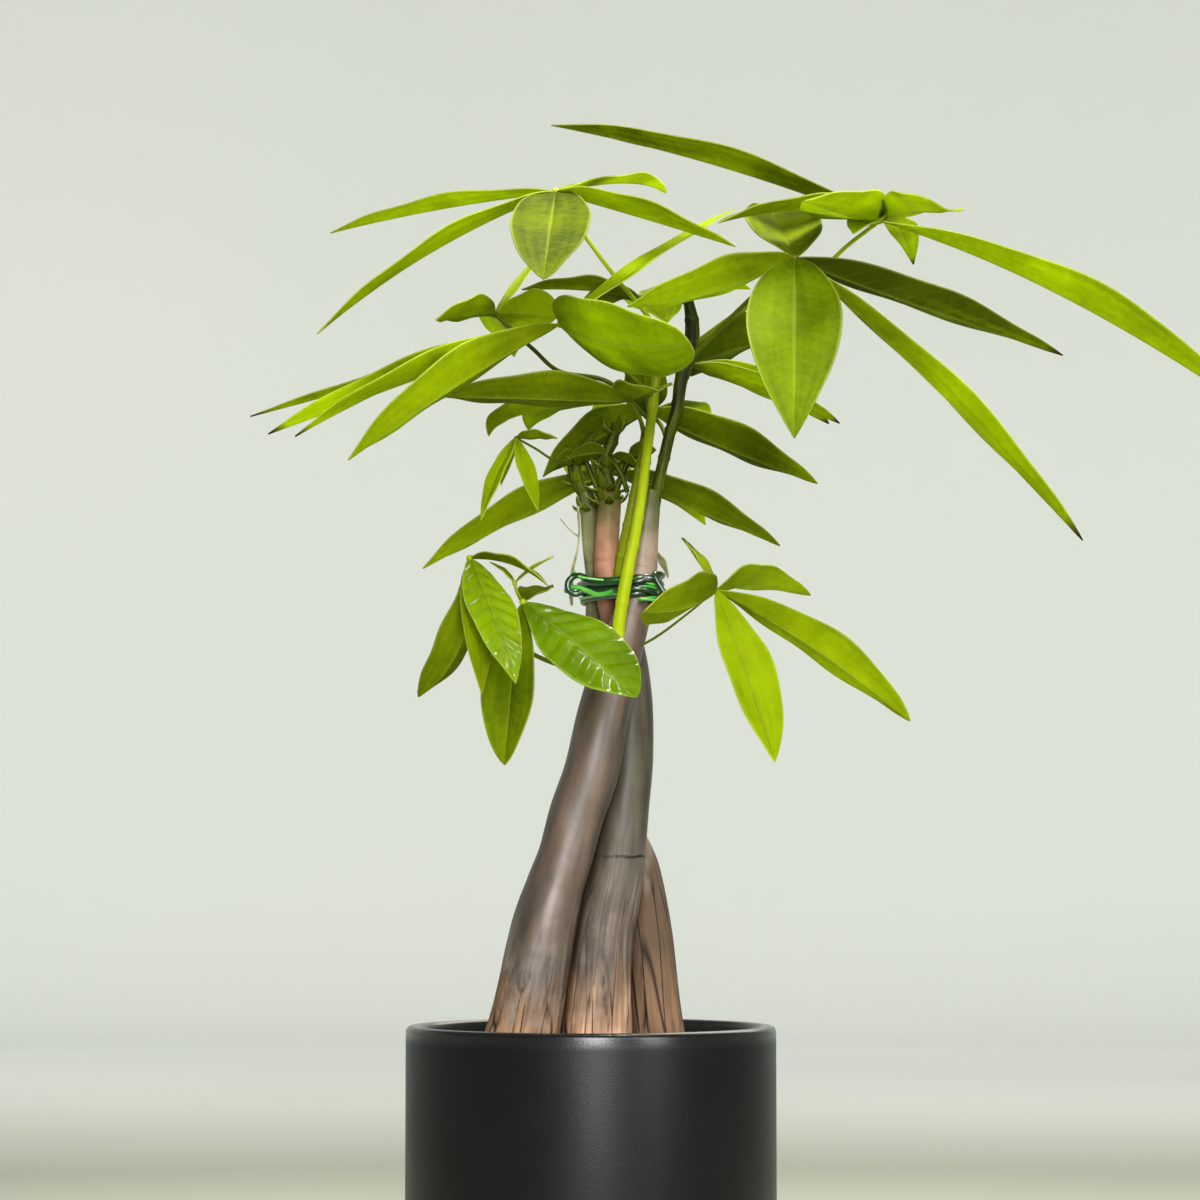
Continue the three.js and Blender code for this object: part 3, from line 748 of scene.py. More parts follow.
# %% Stem lines
STEMS = {
    "stem_left": [
        (-22, -6, 70, 10), (-26, -8, 112, 14.2), (-23.7, -8, 125, 13.3), (-20.8, -8, 140, 12.2),
        (-16.8, -9, 162, 11.4), (-13.2, -9.5, 175, 10.2), (-9, -10.5, 187, 9.6), (-5, -11, 202, 9.5),
        (0, -12, 217, 9.4), (4, -12, 236, 9.1), (7.5, -11.5, 250, 8.5), (11, -9.5, 262, 7.6),
        (15.3, -6.5, 276, 6.2), (18, -4.5, 289, 5.3), (19.6, -3, 303, 4.6), (21.2, -2, 314, 3.7),
        (22.2, -1.5, 321, 2.1),
    ],
    "stem_centre": [
        (1, -4, 70, 9.5), (1.5, -7, 112, 12.9), (1.9, -6, 125, 12.4), (4.4, -3, 158, 10.9),
        (9.1, -1, 181, 9.8), (11.9, 1, 207, 9.2), (13.4, 3.2, 222, 9), (14.3, 4.8, 244, 8),
        (12.8, 5.5, 262, 6.8), (8.8, 3, 276, 5.2), (5.9, 0, 289, 4), (6, -1, 303, 4),
        (6.6, 0, 317, 3.9), (6.4, 0, 324, 2.3),
    ],
    "stem_right": [
        (20, 5, 72, 9), (23, 7, 112, 11.8), (21.7, 8, 125, 11.5), (18.3, 15, 161, 11),
        (14.6, 18, 181, 10.4), (9.7, 19.8, 193, 10.1), (7.5, 20.5, 212, 9.3), (6.8, 20, 230, 8.7),
        (6.5, 19, 244, 8), (5.2, 16, 262, 6.8), (4.1, 12.3, 276, 5.6), (2.9, 8.6, 289, 4.2),
        (0.8, 5.8, 303, 3.7), (-0.6, 4.6, 315, 3.4), (-2.2, 4.4, 321, 2.2),
    ],
}
print("stems", list(STEMS))

# %% Bark relief
BARK_SWELL = 0.45
OLD_BARK_TOP = 166
OLD_BARK_FADE = 36


def bark_relief(seed):
    """Swellings all over, ridges with deep and thin splits on the old bark, and rings higher up. It also
    gives painted shade, deepest in the splits and faint in the rings.
    """
    def relief(x, y, s, z):
        old = min(max((OLD_BARK_TOP - z) / OLD_BARK_FADE, 0), 1)
        swell = 0.55 * noise.noise(Vector((x * 0.07, y * 0.07, s * 0.035 + seed)))
        fold = noise.noise(Vector((x * 0.2 + seed, y * 0.2, s * 0.009)))
        fine = noise.noise(Vector((x * 0.5, y * 0.5 + seed, s * 0.02)))
        deep = max(0, 1 - abs(fold) / 0.04)
        thin = max(0, 1 - abs(fine) / 0.07)
        scar = noise.noise(Vector((x * 0.05, y * 0.05, s * 0.33 + seed * 3)))
        ring = 0.04 * max(0, 1 - abs(scar) / 0.05) * (1 - old)
        ridge = 0.35 * noise.noise(Vector((x * 0.3, y * 0.3, s * 0.04 + seed))) * old
        out = swell + ridge - old * (0.7 * deep + 0.3 * thin) - ring
        # The second value is painted shade, deepest in the splits and faint in the scar rings
        return out + BARK_SWELL, min(1, old * (0.55 * deep + 0.2 * thin) + 0.2 * ring)
    return relief


print("bark relief goes up to", OLD_BARK_TOP, "mm")

# %% Creases between the stems
CREASE = 5
FAR = 99.0
CREASE_SAMPLES = 150


def paint_crease_shade(trunk, own):
    """Paints shade on the points that lie close to another stem, in the creases between them."""
    places = read_places(trunk.data) / MM
    nearest = np.full(len(places), FAR)
    for name, points in STEMS.items():
        if name == own:
            continue
        for x, y, z, radius in even_line(points, CREASE_SAMPLES)[0]:
            nearest = np.minimum(nearest, np.linalg.norm(places - (x, y, z), axis=1) - radius)
    painted_shade = np.empty(len(places))
    stored = trunk.data.attributes["painted_shade"].data
    stored.foreach_get("value", painted_shade)
    # Painted shade: darkest where another stem touches, gone CREASE mm away
    crease = np.clip(1 - nearest / CREASE, 0, 1)
    stored.foreach_set("value", np.maximum(painted_shade, crease))
    return int((crease > 0.5).sum())


print("creases reach", CREASE, "mm from the next stem")

# %% Stems
SEED_STEP = 7.3
STEM_AROUND = 120
STEM_ALONG = 420

trunks = {}
for seed, (name, points) in enumerate(STEMS.items(), start=2):
    relief = bark_relief(seed * SEED_STEP)
    trunks[name] = roll_tube("bark_" + name, points, STEM_AROUND, STEM_ALONG, relief)
    trunks[name].data.materials.append(barks[name])
    creased = paint_crease_shade(trunks[name], name)
    print(name, len(trunks[name].data.polygons), "faces,", creased, "points in creases")

# %% [markdown]
# ## Leaf skins
# A leaflet is a thin sheet that passes about half of the light that it doesn't absorb, and what comes
# through has lost its blue, so a leaf lit from behind glows yellow-green. The skin is a Principled
# shader for the waxy surface mixed with a Translucent shader for the light from behind. Both sides
# are matt, and the quilted leaflets have a glossy coat. Side veins stand 5 to 11 mm apart. They are
# paler from the front, and darker where light comes through, because they are thicker. The green
# drifts in clouds 24 mm across, and is deepest near the hub. Painted streaks of light and shade run
# along the leaflet, as its folds would give. Its specks are 2 mm apart, and the net of pores, 1.6 mm
# wide here, is finer on a real leaf.
# Each point keeps two sets of values. blade is its place across and along its leaflet, and how many
# side veins lie before it. look is how sunlit the leaflet is, how much its tip has dried, and how
# fresh its green is.

# %% Leaf shares
VEIN_SLANT = 1.25

# What each share is read from, the two values it changes between, and what it changes from and to
LEAF_SHARES = {
    "midrib": ("across", 0.02, 0.075, 1.0, 0.0),
    "side_vein": ("from_vein", 0.015, 0.13, 0.35, 0.0),
    "vein_fade": ("across", 0.25, 1.0, 1.0, 0.1),
    "rim": ("across", 0.93, 0.99, 0.0, 0.3),
    "drift": ("cloud", 0.3, 0.7, -0.16, 0.16),
    # Painted streaks of light and shade along the leaflet, as its folds would give
    "painted_fold_streaks": ("band", 0.3, 0.7, -0.09, 0.09),
    "deep_hub": ("along", 0.0, 0.4, -0.2, 0.03),
    "specks": ("speck", 0.3, 0.7, -0.07, 0.07),
    "end": ("along", 0.93, 0.985, 0.0, 1.0),
    "pore": ("net", 0.0, 0.2, 0.0, 0.3),
}


print("a leaf has", len(LEAF_SHARES), "shares")

# %% Leaf patterns
def leaf_patterns(tree):
    """The leaf's patterns and shares by name, with sun, dry and fresh from its look values."""
    blade = add_node(tree, "ShaderNodeAttribute", attribute_name="blade").outputs["Vector"]
    look = add_node(tree, "ShaderNodeAttribute", attribute_name="look").outputs["Vector"]
    place = add_node(tree, "ShaderNodeTexCoord").outputs["Object"]
    where = add_node(tree, "ShaderNodeSeparateXYZ", {0: blade})
    looks = add_node(tree, "ShaderNodeSeparateXYZ", {0: look})
    across = add_node(tree, "ShaderNodeMath", {0: where.outputs["X"]}, operation="ABSOLUTE")
    order = add_node(
        tree,
        "ShaderNodeMath",
        {0: across.outputs[0], 1: -VEIN_SLANT, 2: where.outputs["Z"]},
        operation="MULTIPLY_ADD",
    )
    from_vein = add_node(tree, "ShaderNodeMath", {0: order.outputs[0], 1: 0.5}, operation="PINGPONG")
    cloud = add_node(tree, "ShaderNodeTexNoise", {"Vector": place, "Scale": 42.0, "Detail": 3.0})
    speck = add_node(tree, "ShaderNodeTexNoise", {"Vector": place, "Scale": 420.0, "Detail": 4.0})
    net = add_node(
        tree, "ShaderNodeTexVoronoi", {"Vector": place, "Scale": 620.0}, feature="DISTANCE_TO_EDGE"
    )
    lengthwise = add_node(tree, "ShaderNodeMapping", {"Vector": blade, "Scale": (2.6, 1.1, 0.0)})
    shifted = add_node(
        tree, "ShaderNodeVectorMath", {0: lengthwise.outputs[0], 1: look}, operation="ADD"
    )
    band = add_node(
        tree, "ShaderNodeTexNoise", {"Vector": shifted.outputs[0], "Scale": 1.5, "Detail": 2.0}
    )
    leaf = {
        "sun": looks.outputs["X"],
        "dry": looks.outputs["Y"],
        "fresh": looks.outputs["Z"],
        "along": where.outputs["Y"],
        "across": across.outputs[0],
        "from_vein": from_vein.outputs[0],
        "cloud": cloud.outputs["Fac"],
        "speck": speck.outputs["Fac"],
        "net": net.outputs["Distance"],
        "band": band.outputs["Fac"],
    }
    for name, (source, low, high, start, end) in LEAF_SHARES.items():
        leaf[name] = add_node(
            tree, "ShaderNodeMapRange", {0: leaf[source], 1: low, 2: high, 3: start, 4: end}
        ).outputs[0]
    return leaf


print("leaf patterns follow the attributes blade and look")

# %% Leaf colours
GLOW_RIPE = ("#687302", "#cfdd06")
GLOW_FRESH = ("#4c6c02", "#a8da02")


def leaf_colours(tree, leaf, veins, front_ripe, front_fresh):
    """What the skin looks like from the front, and the colour of the light that comes through it."""
    # tone is painted light and shade: how sunlit the leaflet is painted, with painted streaks along its
    # folds, random drift and specks, and a deeper green near the hub
    tone = leaf["sun"]
    for share in ("drift", "painted_fold_streaks", "deep_hub", "specks"):
        tone = add_node(tree, "ShaderNodeMath", {0: tone, 1: leaf[share]}, operation="ADD").outputs[0]
    pale_vein = add_node(tree, "ShaderNodeMath", {0: veins, 1: 0.22}, operation="MULTIPLY")
    dark_vein = add_node(tree, "ShaderNodeMath", {0: veins, 1: 0.3}, operation="MULTIPLY")
    dry_tip = add_node(tree, "ShaderNodeMath", {0: leaf["end"], 1: leaf["dry"]}, operation="MULTIPLY")
    front_layers = [
        (pale_vein.outputs[0], "#b9c24a"), (leaf["rim"], "#c9d06a"), (dry_tip.outputs[0], "#3a2a14"),
    ]
    glow_layers = [(dark_vein.outputs[0], GLOW_RIPE[0]), (dry_tip.outputs[0], "#2a1c0c")]
    colours = []
    for ripe, fresh, layers in (
        (front_ripe, front_fresh, front_layers), (GLOW_RIPE, GLOW_FRESH, glow_layers),
    ):
        greens = [
            add_node(
                tree, "ShaderNodeMix", {0: tone, 6: linear(shade), 7: linear(sun)}, data_type="RGBA"
            ).outputs[2]
            for shade, sun in (ripe, fresh)
        ]
        colour = add_node(
            tree, "ShaderNodeMix", {0: leaf["fresh"], 6: greens[0], 7: greens[1]}, data_type="RGBA"
        ).outputs[2]
        for share, over in layers:
            colour = add_node(
                tree, "ShaderNodeMix", {0: share, 6: colour, 7: linear(over)}, data_type="RGBA"
            ).outputs[2]
        colours.append(colour)
    return colours


print("light through a ripe leaf goes from", *GLOW_RIPE, "and through a fresh one from", *GLOW_FRESH)

# %% Leaf material
def leaf_skin(name, front_ripe, front_fresh, roughness, through, specular, coat=0.0):
    """One side of a leaflet. Each colour pair is for shade and for sun, and through is the share of
    light that comes through."""
    material, tree, output = new_material(name)
    leaf = leaf_patterns(tree)
    side_vein = add_node(
        tree, "ShaderNodeMath", {0: leaf["side_vein"], 1: leaf["vein_fade"]}, operation="MULTIPLY"
    )
    veins = add_node(
        tree, "ShaderNodeMath", {0: leaf["midrib"], 1: side_vein.outputs[0]}, operation="MAXIMUM"
    ).outputs[0]
    front, glow = leaf_colours(tree, leaf, veins, front_ripe, front_fresh)
    height = add_node(tree, "ShaderNodeMath", {0: leaf["pore"], 1: veins}, operation="SUBTRACT")
    bump = add_node(
        tree, "ShaderNodeBump", {"Strength": 0.35, "Distance": 0.0003, "Height": height.outputs[0]}
    )
    dull = add_node(
        tree,
        "ShaderNodeMapRange",
        {0: leaf["cloud"], 1: 0.3, 2: 0.7, 3: roughness - 0.05, 4: roughness + 0.07},
    )
    wax = add_node(
        tree,
        "ShaderNodeBsdfPrincipled",
        {
            "Base Color": front,
            "Roughness": dull.outputs[0],
            "Normal": bump.outputs["Normal"],
            "IOR": 1.45,
            "Specular IOR Level": specular,
            "Coat Weight": coat,
            "Coat Roughness": 0.12,
        },
    )
    lit_through = add_node(tree, "ShaderNodeBsdfTranslucent", {"Color": glow})
    both = add_node(tree, "ShaderNodeMixShader", {0: through, 1: wax.outputs[0], 2: lit_through.outputs[0]})
    tree.links.new(both.outputs[0], output.inputs["Surface"])
    return material


print("a leaf skin is wax over a sheet that light comes through")

# %% Leaf skins
leaf_top = leaf_skin(
    "waxy upper leaf skin",
    front_ripe=("#434d02", "#8e9d03"),
    front_fresh=("#355402", "#709602"),
    roughness=0.7,
    through=0.5,
    specular=0.04,
)
leaf_under = leaf_skin(
    "matt leaf underside",
    front_ripe=("#4b5303", "#98a507"),
    front_fresh=("#3c5c03", "#789e04"),
    roughness=0.7,
    through=0.5,
    specular=0.04,
)
quilted_top = leaf_skin(
    "glossy quilted leaf skin",
    front_ripe=("#304002", "#7c9404"),
    front_fresh=("#254602", "#649004"),
    roughness=0.28,
    through=0.4,
    specular=0.15,
    coat=1.0,
)
print("leaf skins", leaf_top.name, "|", leaf_under.name, "|", quilted_top.name)

# %% [markdown]
# ## Green rind and dry stalks
# Shoots and leaf stalks are green wood under a thin smooth rind, with a soft shine, fine streaks 1 mm
# wide and pale dots 2.6 mm apart. How much painted light and shade each one has comes from its look
# values. Dead stalks dry to straw colour, with fibres 1.4 mm wide, which are coarser than real ones so
# that they show. The wire's coat is soft vinyl, with dirt in streaks 4 mm wide.

# %% Green rind
def green_rind():
    """Smooth green with a soft sheen, streaked along the shoot."""
    material, tree, output = new_material("green plant rind")
    straight = add_node(tree, "ShaderNodeAttribute", attribute_name="straight").outputs["Vector"]
    look = add_node(tree, "ShaderNodeAttribute", attribute_name="look").outputs["Vector"]
    looks = add_node(tree, "ShaderNodeSeparateXYZ", {0: look})
    drawn = add_node(tree, "ShaderNodeMapping", {"Vector": straight, "Scale": (1.0, 1.0, 0.07)})
    streak = add_node(tree, "ShaderNodeTexNoise", {"Vector": drawn.outputs[0], "Scale": 900.0})
    dots = add_node(tree, "ShaderNodeTexVoronoi", {"Vector": straight, "Scale": 380.0})
    dot = add_node(
        tree, "ShaderNodeMapRange", {0: dots.outputs["Distance"], 1: 0.04, 2: 0.14, 3: 0.15, 4: 0.0}
    )
    drift = add_node(
        tree, "ShaderNodeMapRange", {0: streak.outputs["Fac"], 1: 0.3, 2: 0.7, 3: -0.07, 4: 0.07}
    )
    # tone is the shoot's painted light and shade from its look values, with random streaks
    tone = add_node(
        tree, "ShaderNodeMath", {0: looks.outputs["X"], 1: drift.outputs[0]}, operation="ADD"
    )
    colour = linear("#141a03")
    for share, over in ((tone.outputs[0], "#a4b40a"), (dot.outputs[0], "#b4b26a")):
        colour = add_node(
            tree, "ShaderNodeMix", {0: share, 6: colour, 7: linear(over)}, data_type="RGBA"
        ).outputs[2]
    bump = add_node(
        tree, "ShaderNodeBump", {"Strength": 0.2, "Distance": 0.0002, "Height": streak.outputs["Fac"]}
    )
    shader = add_node(
        tree,
        "ShaderNodeBsdfPrincipled",
        {
            "Base Color": colour,
            "Roughness": 0.45,
            "Specular IOR Level": 0.08,
            "Normal": bump.outputs["Normal"],
            "Subsurface Weight": 0.15,
            "Subsurface Radius": (0.004, 0.006, 0.001),
            "Subsurface Scale": 0.4,
        },
    )
    tree.links.new(shader.outputs[0], output.inputs["Surface"])
    return material


rind = green_rind()
print("made", rind.name)

# %% Straw and wire coats
def streaked(name, dark, light, roughness, scale, coat=0.0):
    """A plain finish with fibres or dirt along it, for a dry stalk or a coated wire."""
    material, tree, output = new_material(name)
    straight = add_node(tree, "ShaderNodeAttribute", attribute_name="straight").outputs["Vector"]
    drawn = add_node(tree, "ShaderNodeMapping", {"Vector": straight, "Scale": (1.0, 1.0, 0.25)})
    fibre = add_node(
        tree, "ShaderNodeTexNoise", {"Vector": drawn.outputs[0], "Scale": scale, "Detail": 5.0}
    ).outputs["Fac"]
    share = add_node(tree, "ShaderNodeMapRange", {0: fibre, 1: 0.35, 2: 0.65, 3: 0.0, 4: 1.0})
    colour = add_node(
        tree, "ShaderNodeMix", {0: share.outputs[0], 6: linear(dark), 7: linear(light)}, data_type="RGBA"
    ).outputs[2]
    bump = add_node(tree, "ShaderNodeBump", {"Strength": 0.4, "Distance": 0.0002, "Height": fibre})
    shader = add_node(
        tree,
        "ShaderNodeBsdfPrincipled",
        {
            "Base Color": colour,
            "Roughness": roughness,
            "Normal": bump.outputs["Normal"],
            "Coat Weight": coat,
            "Coat Roughness": 0.1,
        },
    )
    tree.links.new(shader.outputs[0], output.inputs["Surface"])
    return material


straw = streaked("dry stalk fibre", "#5c5636", "#a3a070", roughness=0.8, scale=700.0)
wire_coat = streaked(
    "dark green vinyl wire coat", "#020a05", "#0e3f18", roughness=0.3, scale=260.0, coat=0.3
)
bright_coat = streaked(
    "bright green vinyl wire coat", "#1f7a2c", "#64b83c", roughness=0.32, scale=260.0, coat=0.3
)
print("made", straw.name, "|", wire_coat.name, "|", bright_coat.name)

# %% [markdown]
# ## Leaflets
# All the leaflets of a palmate leaf have one plan: narrow at the hub, widest past the middle and drawn
# out to a point, with a midrib and slanting side veins that quilt the blade. So a flat pattern is made
# from a grid, and each leaflet is a copy of it, bent along its own rib. A coarser pattern does for the
# small bud scales. The bend could be a curve modifier, but a leaf also folds along its rib and twists,
# so the copy's points are placed by a rule. A Solidify modifier then gives the sheet its thickness, and
# the underside gets its own skin.

# %% Flat patterns
RIB_CROWDING = 1.3


def flat_pattern(name, across, along):
    """A flat grid, with each point's place across it from -1 to 1 and along it from 0 to 1. Points
    crowd at the rib, where a blade bends most."""
    bpy.ops.object.select_all(action="DESELECT")
    bpy.ops.mesh.primitive_grid_add(x_subdivisions=across, y_subdivisions=along, size=2)
    sheet = bpy.context.object
    sheet.name = name
    flat = read_places(sheet.data)
    crowded = -np.sign(flat[:, 0]) * np.abs(flat[:, 0]) ** RIB_CROWDING
    return sheet, crowded, (flat[:, 1] + 1) / 2


LEAFLET = flat_pattern("leaflet_pattern", 18, 72)
SCALE = flat_pattern("scale_pattern", 6, 18)
print("pattern faces", len(LEAFLET[0].data.polygons), "and", len(SCALE[0].data.polygons))

# %% What a leaflet is like
BLADE_THICKNESS = 0.5


def blade(
    tip, width, arch=3, roll=0, peak=0.5, belly=0.88, point=0.9, sun=0.5, dry=0.0, fresh=0.15, quilt=0.14,
    gloss=False, veins=13, fold=19, pattern=LEAFLET,
):
    """What one leaflet is like. Sizes in millimetres, roll and fold in degrees. A higher belly is
    widest later along the rib, and a lower point has blunter ends."""
    return dict(
        tip=tip, width=width, arch=arch, roll=roll, peak=peak, belly=belly, point=point,
        sun=sun, dry=dry, fresh=fresh, quilt=quilt, gloss=gloss, veins=veins, fold=fold,
        pattern=pattern,
    )


print("a blade is", BLADE_THICKNESS, "mm thick")

# %% Bend a leaflet
WAVE = 0.5
WAVES = 5
GROOVE_DEPTH = 0.3
GROOVE_WIDTH = 0.6
TIP_HALF_WIDTH = 0.12
HUB_EXTRA_WIDTH = 0.45
FULL_RELIEF_WIDTH = 6


def unit(rows):
    """Each row made 1 long."""
    return rows / np.linalg.norm(rows, axis=-1, keepdims=True)


def bend_blade(hub, leaflet):
    """A copy of the leaflet's pattern, laid along its rib."""
    sheet, u, v = leaflet["pattern"]
    v = v[:, None]
    copy = sheet.copy()
    copy.data = sheet.data.copy()
    bpy.context.collection.objects.link(copy)
    start = np.array(hub, float)
    end = np.array(leaflet["tip"], float)
    along = unit(end - start)
    up = np.array((0.0, 0.0, 1.0))
    lift = unit(up - along * up.dot(along))
    middle = start + (end - start) * leaflet["peak"] + lift * 2 * leaflet["arch"]
    rib = (1 - v) ** 2 * start + 2 * v * (1 - v) * middle + v**2 * end
    tangent = unit(2 * (1 - v) * (middle - start) + 2 * v * (end - middle))
    face = unit(lift - tangent * (tangent @ lift)[:, None])
    turn = math.radians(leaflet["roll"])
    face = face * math.cos(turn) + np.cross(tangent, face) * math.sin(turn)
    side = unit(np.cross(face, tangent))

    # The outline, then the fold, the waves, the quilting between the veins and the rib's groove
    v = v[:, 0]
    share = np.maximum(np.sin(math.pi * v ** leaflet["belly"]), 0) ** leaflet["point"]
    half = np.maximum(leaflet["width"] / 2 * share, HUB_EXTRA_WIDTH * (1 - v) + TIP_HALF_WIDTH)
    body = np.minimum(1, half / FULL_RELIEF_WIDTH)
    fold = math.radians(leaflet["fold"])
    rise = (np.abs(u) - 0.5) * half * math.sin(fold)
    rise += WAVE * np.abs(u) * np.sin(v * math.pi * WAVES + u) * body
    order = v * leaflet["veins"]
    veins = order - np.abs(u) * VEIN_SLANT
    dome = (0.5 - 0.5 * np.cos(2 * math.pi * veins)) * np.abs(u) ** 0.5 * (1 - np.abs(u) ** 5)
    rise += leaflet["quilt"] * dome * body
    rise -= GROOVE_DEPTH * np.exp(-((u * half / GROOVE_WIDTH) ** 2)) * body
    spread = u * half * np.cos(fold * np.abs(u))
    places = rib + side * spread[:, None] + face * rise[:, None]
    write_places(copy.data, places * MM)
    keep_values(copy.data, "blade", "FLOAT_VECTOR", np.column_stack([u, v, order]))
    looks = np.tile((leaflet["sun"], leaflet["dry"], leaflet["fresh"]), (len(u), 1))
    keep_values(copy.data, "look", "FLOAT_VECTOR", looks)
    return copy


print("a leaflet's edge waves", WAVES / 2, "times up and down by", WAVE, "mm")

# %% Joining, looks and leaf sheets
def join(pieces, name):
    """Joins pieces into the first one."""
    bpy.ops.object.select_all(action="DESELECT")
    for piece in pieces:
        piece.select_set(True)
    bpy.context.view_layer.objects.active = pieces[0]
    if len(pieces) > 1:
        bpy.ops.object.join()
    pieces[0].name = name
    return pieces[0]


def set_look(piece, first, last):
    """How much painted light a shoot or a stalk has at its first end and at its last, from painted shade 0
    to painted light 1.
    """
    count = len(piece.data.vertices)
    places = np.empty(count * 3)
    piece.data.attributes["straight"].data.foreach_get("vector", places)
    length = places.reshape(-1, 3)[:, 2]
    sun = first + (last - first) * length / length.max()
    keep_values(piece.data, "look", "FLOAT_VECTOR", np.column_stack([sun, sun * 0, sun * 0]))


def leaf_sheet(name, hub, leaflets, skins=None):
    """The leaflets of one leaf, joined and given their thickness. skins are its upper and lower side,
    and the upper side of the leaflets marked gloss."""
    top, under, glossy = skins or (leaf_top, leaf_under, quilted_top)
    blades = [bend_blade(hub, leaflet) for leaflet in leaflets]
    for sheet, leaflet in zip(blades, leaflets):
        for skin in (top, under, glossy, under):
            sheet.data.materials.append(skin)
        for face in sheet.data.polygons:
            face.material_index = 2 if leaflet["gloss"] else 0
    sheet = join(blades, name)
    bpy.ops.object.modifier_add(type="SOLIDIFY")
    thickness = sheet.modifiers[-1]
    thickness.thickness = BLADE_THICKNESS * MM
    thickness.offset = 0
    thickness.material_offset = 1
    thickness.material_offset_rim = 1
    bpy.ops.object.modifier_apply(modifier=thickness.name)
    bpy.ops.object.shade_smooth_by_angle(angle=math.radians(55))
    return sheet


print("leaflet helpers ready")

# %% [markdown]
# ## Green shoots
# Each braided stem ends in green growth. A shoot is a thinner tube that starts inside its stem. Rings
# a few millimetres apart are the scars of fallen leaves.

# %% Shoots
SHOOTS = {
    "shoot_tall": [
        (21.8, -1.8, 306, 2.4), (23.5, -1, 317, 2.3), (26, 0, 329, 2.1), (29, 2, 342, 2.1),
        (32, 4, 353, 2.2), (33.5, 5, 363, 2.5), (37, 6, 374, 3), (37.5, 4, 384, 2.7), (36, 2, 393, 1.8),
    ],
    "shoot_front": [
        (9, -13, 255, 2.4), (9.2, -21.5, 261, 2.4), (11, -24.5, 276, 2.3), (13.5, -24, 290, 2.2),
        (17, -20, 308, 2), (19, -16.5, 322, 1.9), (21, -12, 338, 1.8), (23, -8, 354, 1.8),
        (24, -6, 364, 1.6),
    ],
    "shoot_inner": [
        (8.6, -1.5, 281, 1), (10, -4.8, 290, 1.8), (11.6, -7.6, 298, 2), (14.4, -10, 311, 1.9),
        (17, -8.5, 324, 1.8), (19.3, -5.5, 336, 1.8), (20, -4.5, 342, 1.6),
    ],
    "shoot_mid": [
        (6.6, 0, 312, 3.2), (6.6, 0, 321, 3.4), (5.6, -0.5, 327, 2.4), (5, -1, 333, 2.2),
        (7.5, -1, 339, 2.4), (9.5, -1.5, 346, 1.6),
    ],
    "shoot_left": [
        (-0.8, 4.6, 310, 2.6), (-2, 4.6, 319.5, 2.7), (-4.8, 4, 325, 2.3), (-5.6, 4, 331, 2),
        (-3, 4.5, 337, 2), (1, 5.5, 343, 1.4),
    ],
}
SCAR_STEP = 11
SCAR_HEIGHT = 0.28
SCAR_WIDTH = 0.8
# How much painted light each shoot has at its foot and at its tip, from painted shade 0 to painted light 1
SHOOT_SUN = {
    "shoot_tall": (0.1, 0.0), "shoot_front": (0.85, 0.3), "shoot_inner": (0.35, 0.2),
    "shoot_mid": (0.05, 0.08), "shoot_left": (0.1, 0.1),
}


def shoot_relief(x, y, s, z):
    """Scars round the shoot at uneven steps, and a slight unevenness. No painted shade."""
    wander = 3 * noise.noise(Vector((0, 0, s * 0.2)))
    from_scar = abs((s + wander) % SCAR_STEP - SCAR_STEP / 2)
    scar = SCAR_HEIGHT * math.exp(-((from_scar / SCAR_WIDTH) ** 2))
    return scar + 0.12 * noise.noise(Vector((x * 0.5, y * 0.5, s * 0.08))), 0


shoots = {}
for name, points in SHOOTS.items():
    shoots[name] = roll_tube("green_" + name, points, 28, 160, shoot_relief)
    set_look(shoots[name], *SHOOT_SUN[name])
    shoots[name].data.materials.append(rind)
print("shoots", list(shoots))

# %% Dry stalks and a bract
DRY_STALKS = [
    [
        (-1.4, 4.4, 318, 0.6), (-4.3, 3, 316, 0.5), (-4.4, 2, 306, 0.35), (-4.9, 1.5, 300, 0.35),
        (-6.9, -1, 291, 0.6), (-7.4, -2, 285, 1.0), (-7.1, -2.5, 278.5, 0.5),
    ],
    [(-4.4, 2.2, 304, 0.3), (-8, 2, 307, 0.22), (-11.5, 2, 311, 0.15)],
]
stalks = []
for points in DRY_STALKS:
    stalk = roll_tube("dry_stalk", points, 10, 70)
    set_look(stalk, 0.6, 0.6)
    stalk.data.materials.append(straw)
    stalks.append(stalk)
shoots["shoot_left"] = join([shoots["shoot_left"], *stalks], "green_shoot_left")
bract = leaf_sheet(
    "bract", (21, 0, 301), [blade((28.5, 3, 289), 6, arch=1, sun=0.1, quilt=0)], (straw, straw, straw)
)
trunks["stem_left"] = join([trunks["stem_left"], bract], "bark_stem_left")
print("dry stalks", len(stalks))

# %% [markdown]
# ## Bud scales
# Where a shoot leaves its stem, and where leaves have grown from it, sits a tuft of small stiff
# scales, with the stubs of old leaf stalks among them. A scale is a short leaflet that curves out and
# up, and a stub is a short tube.

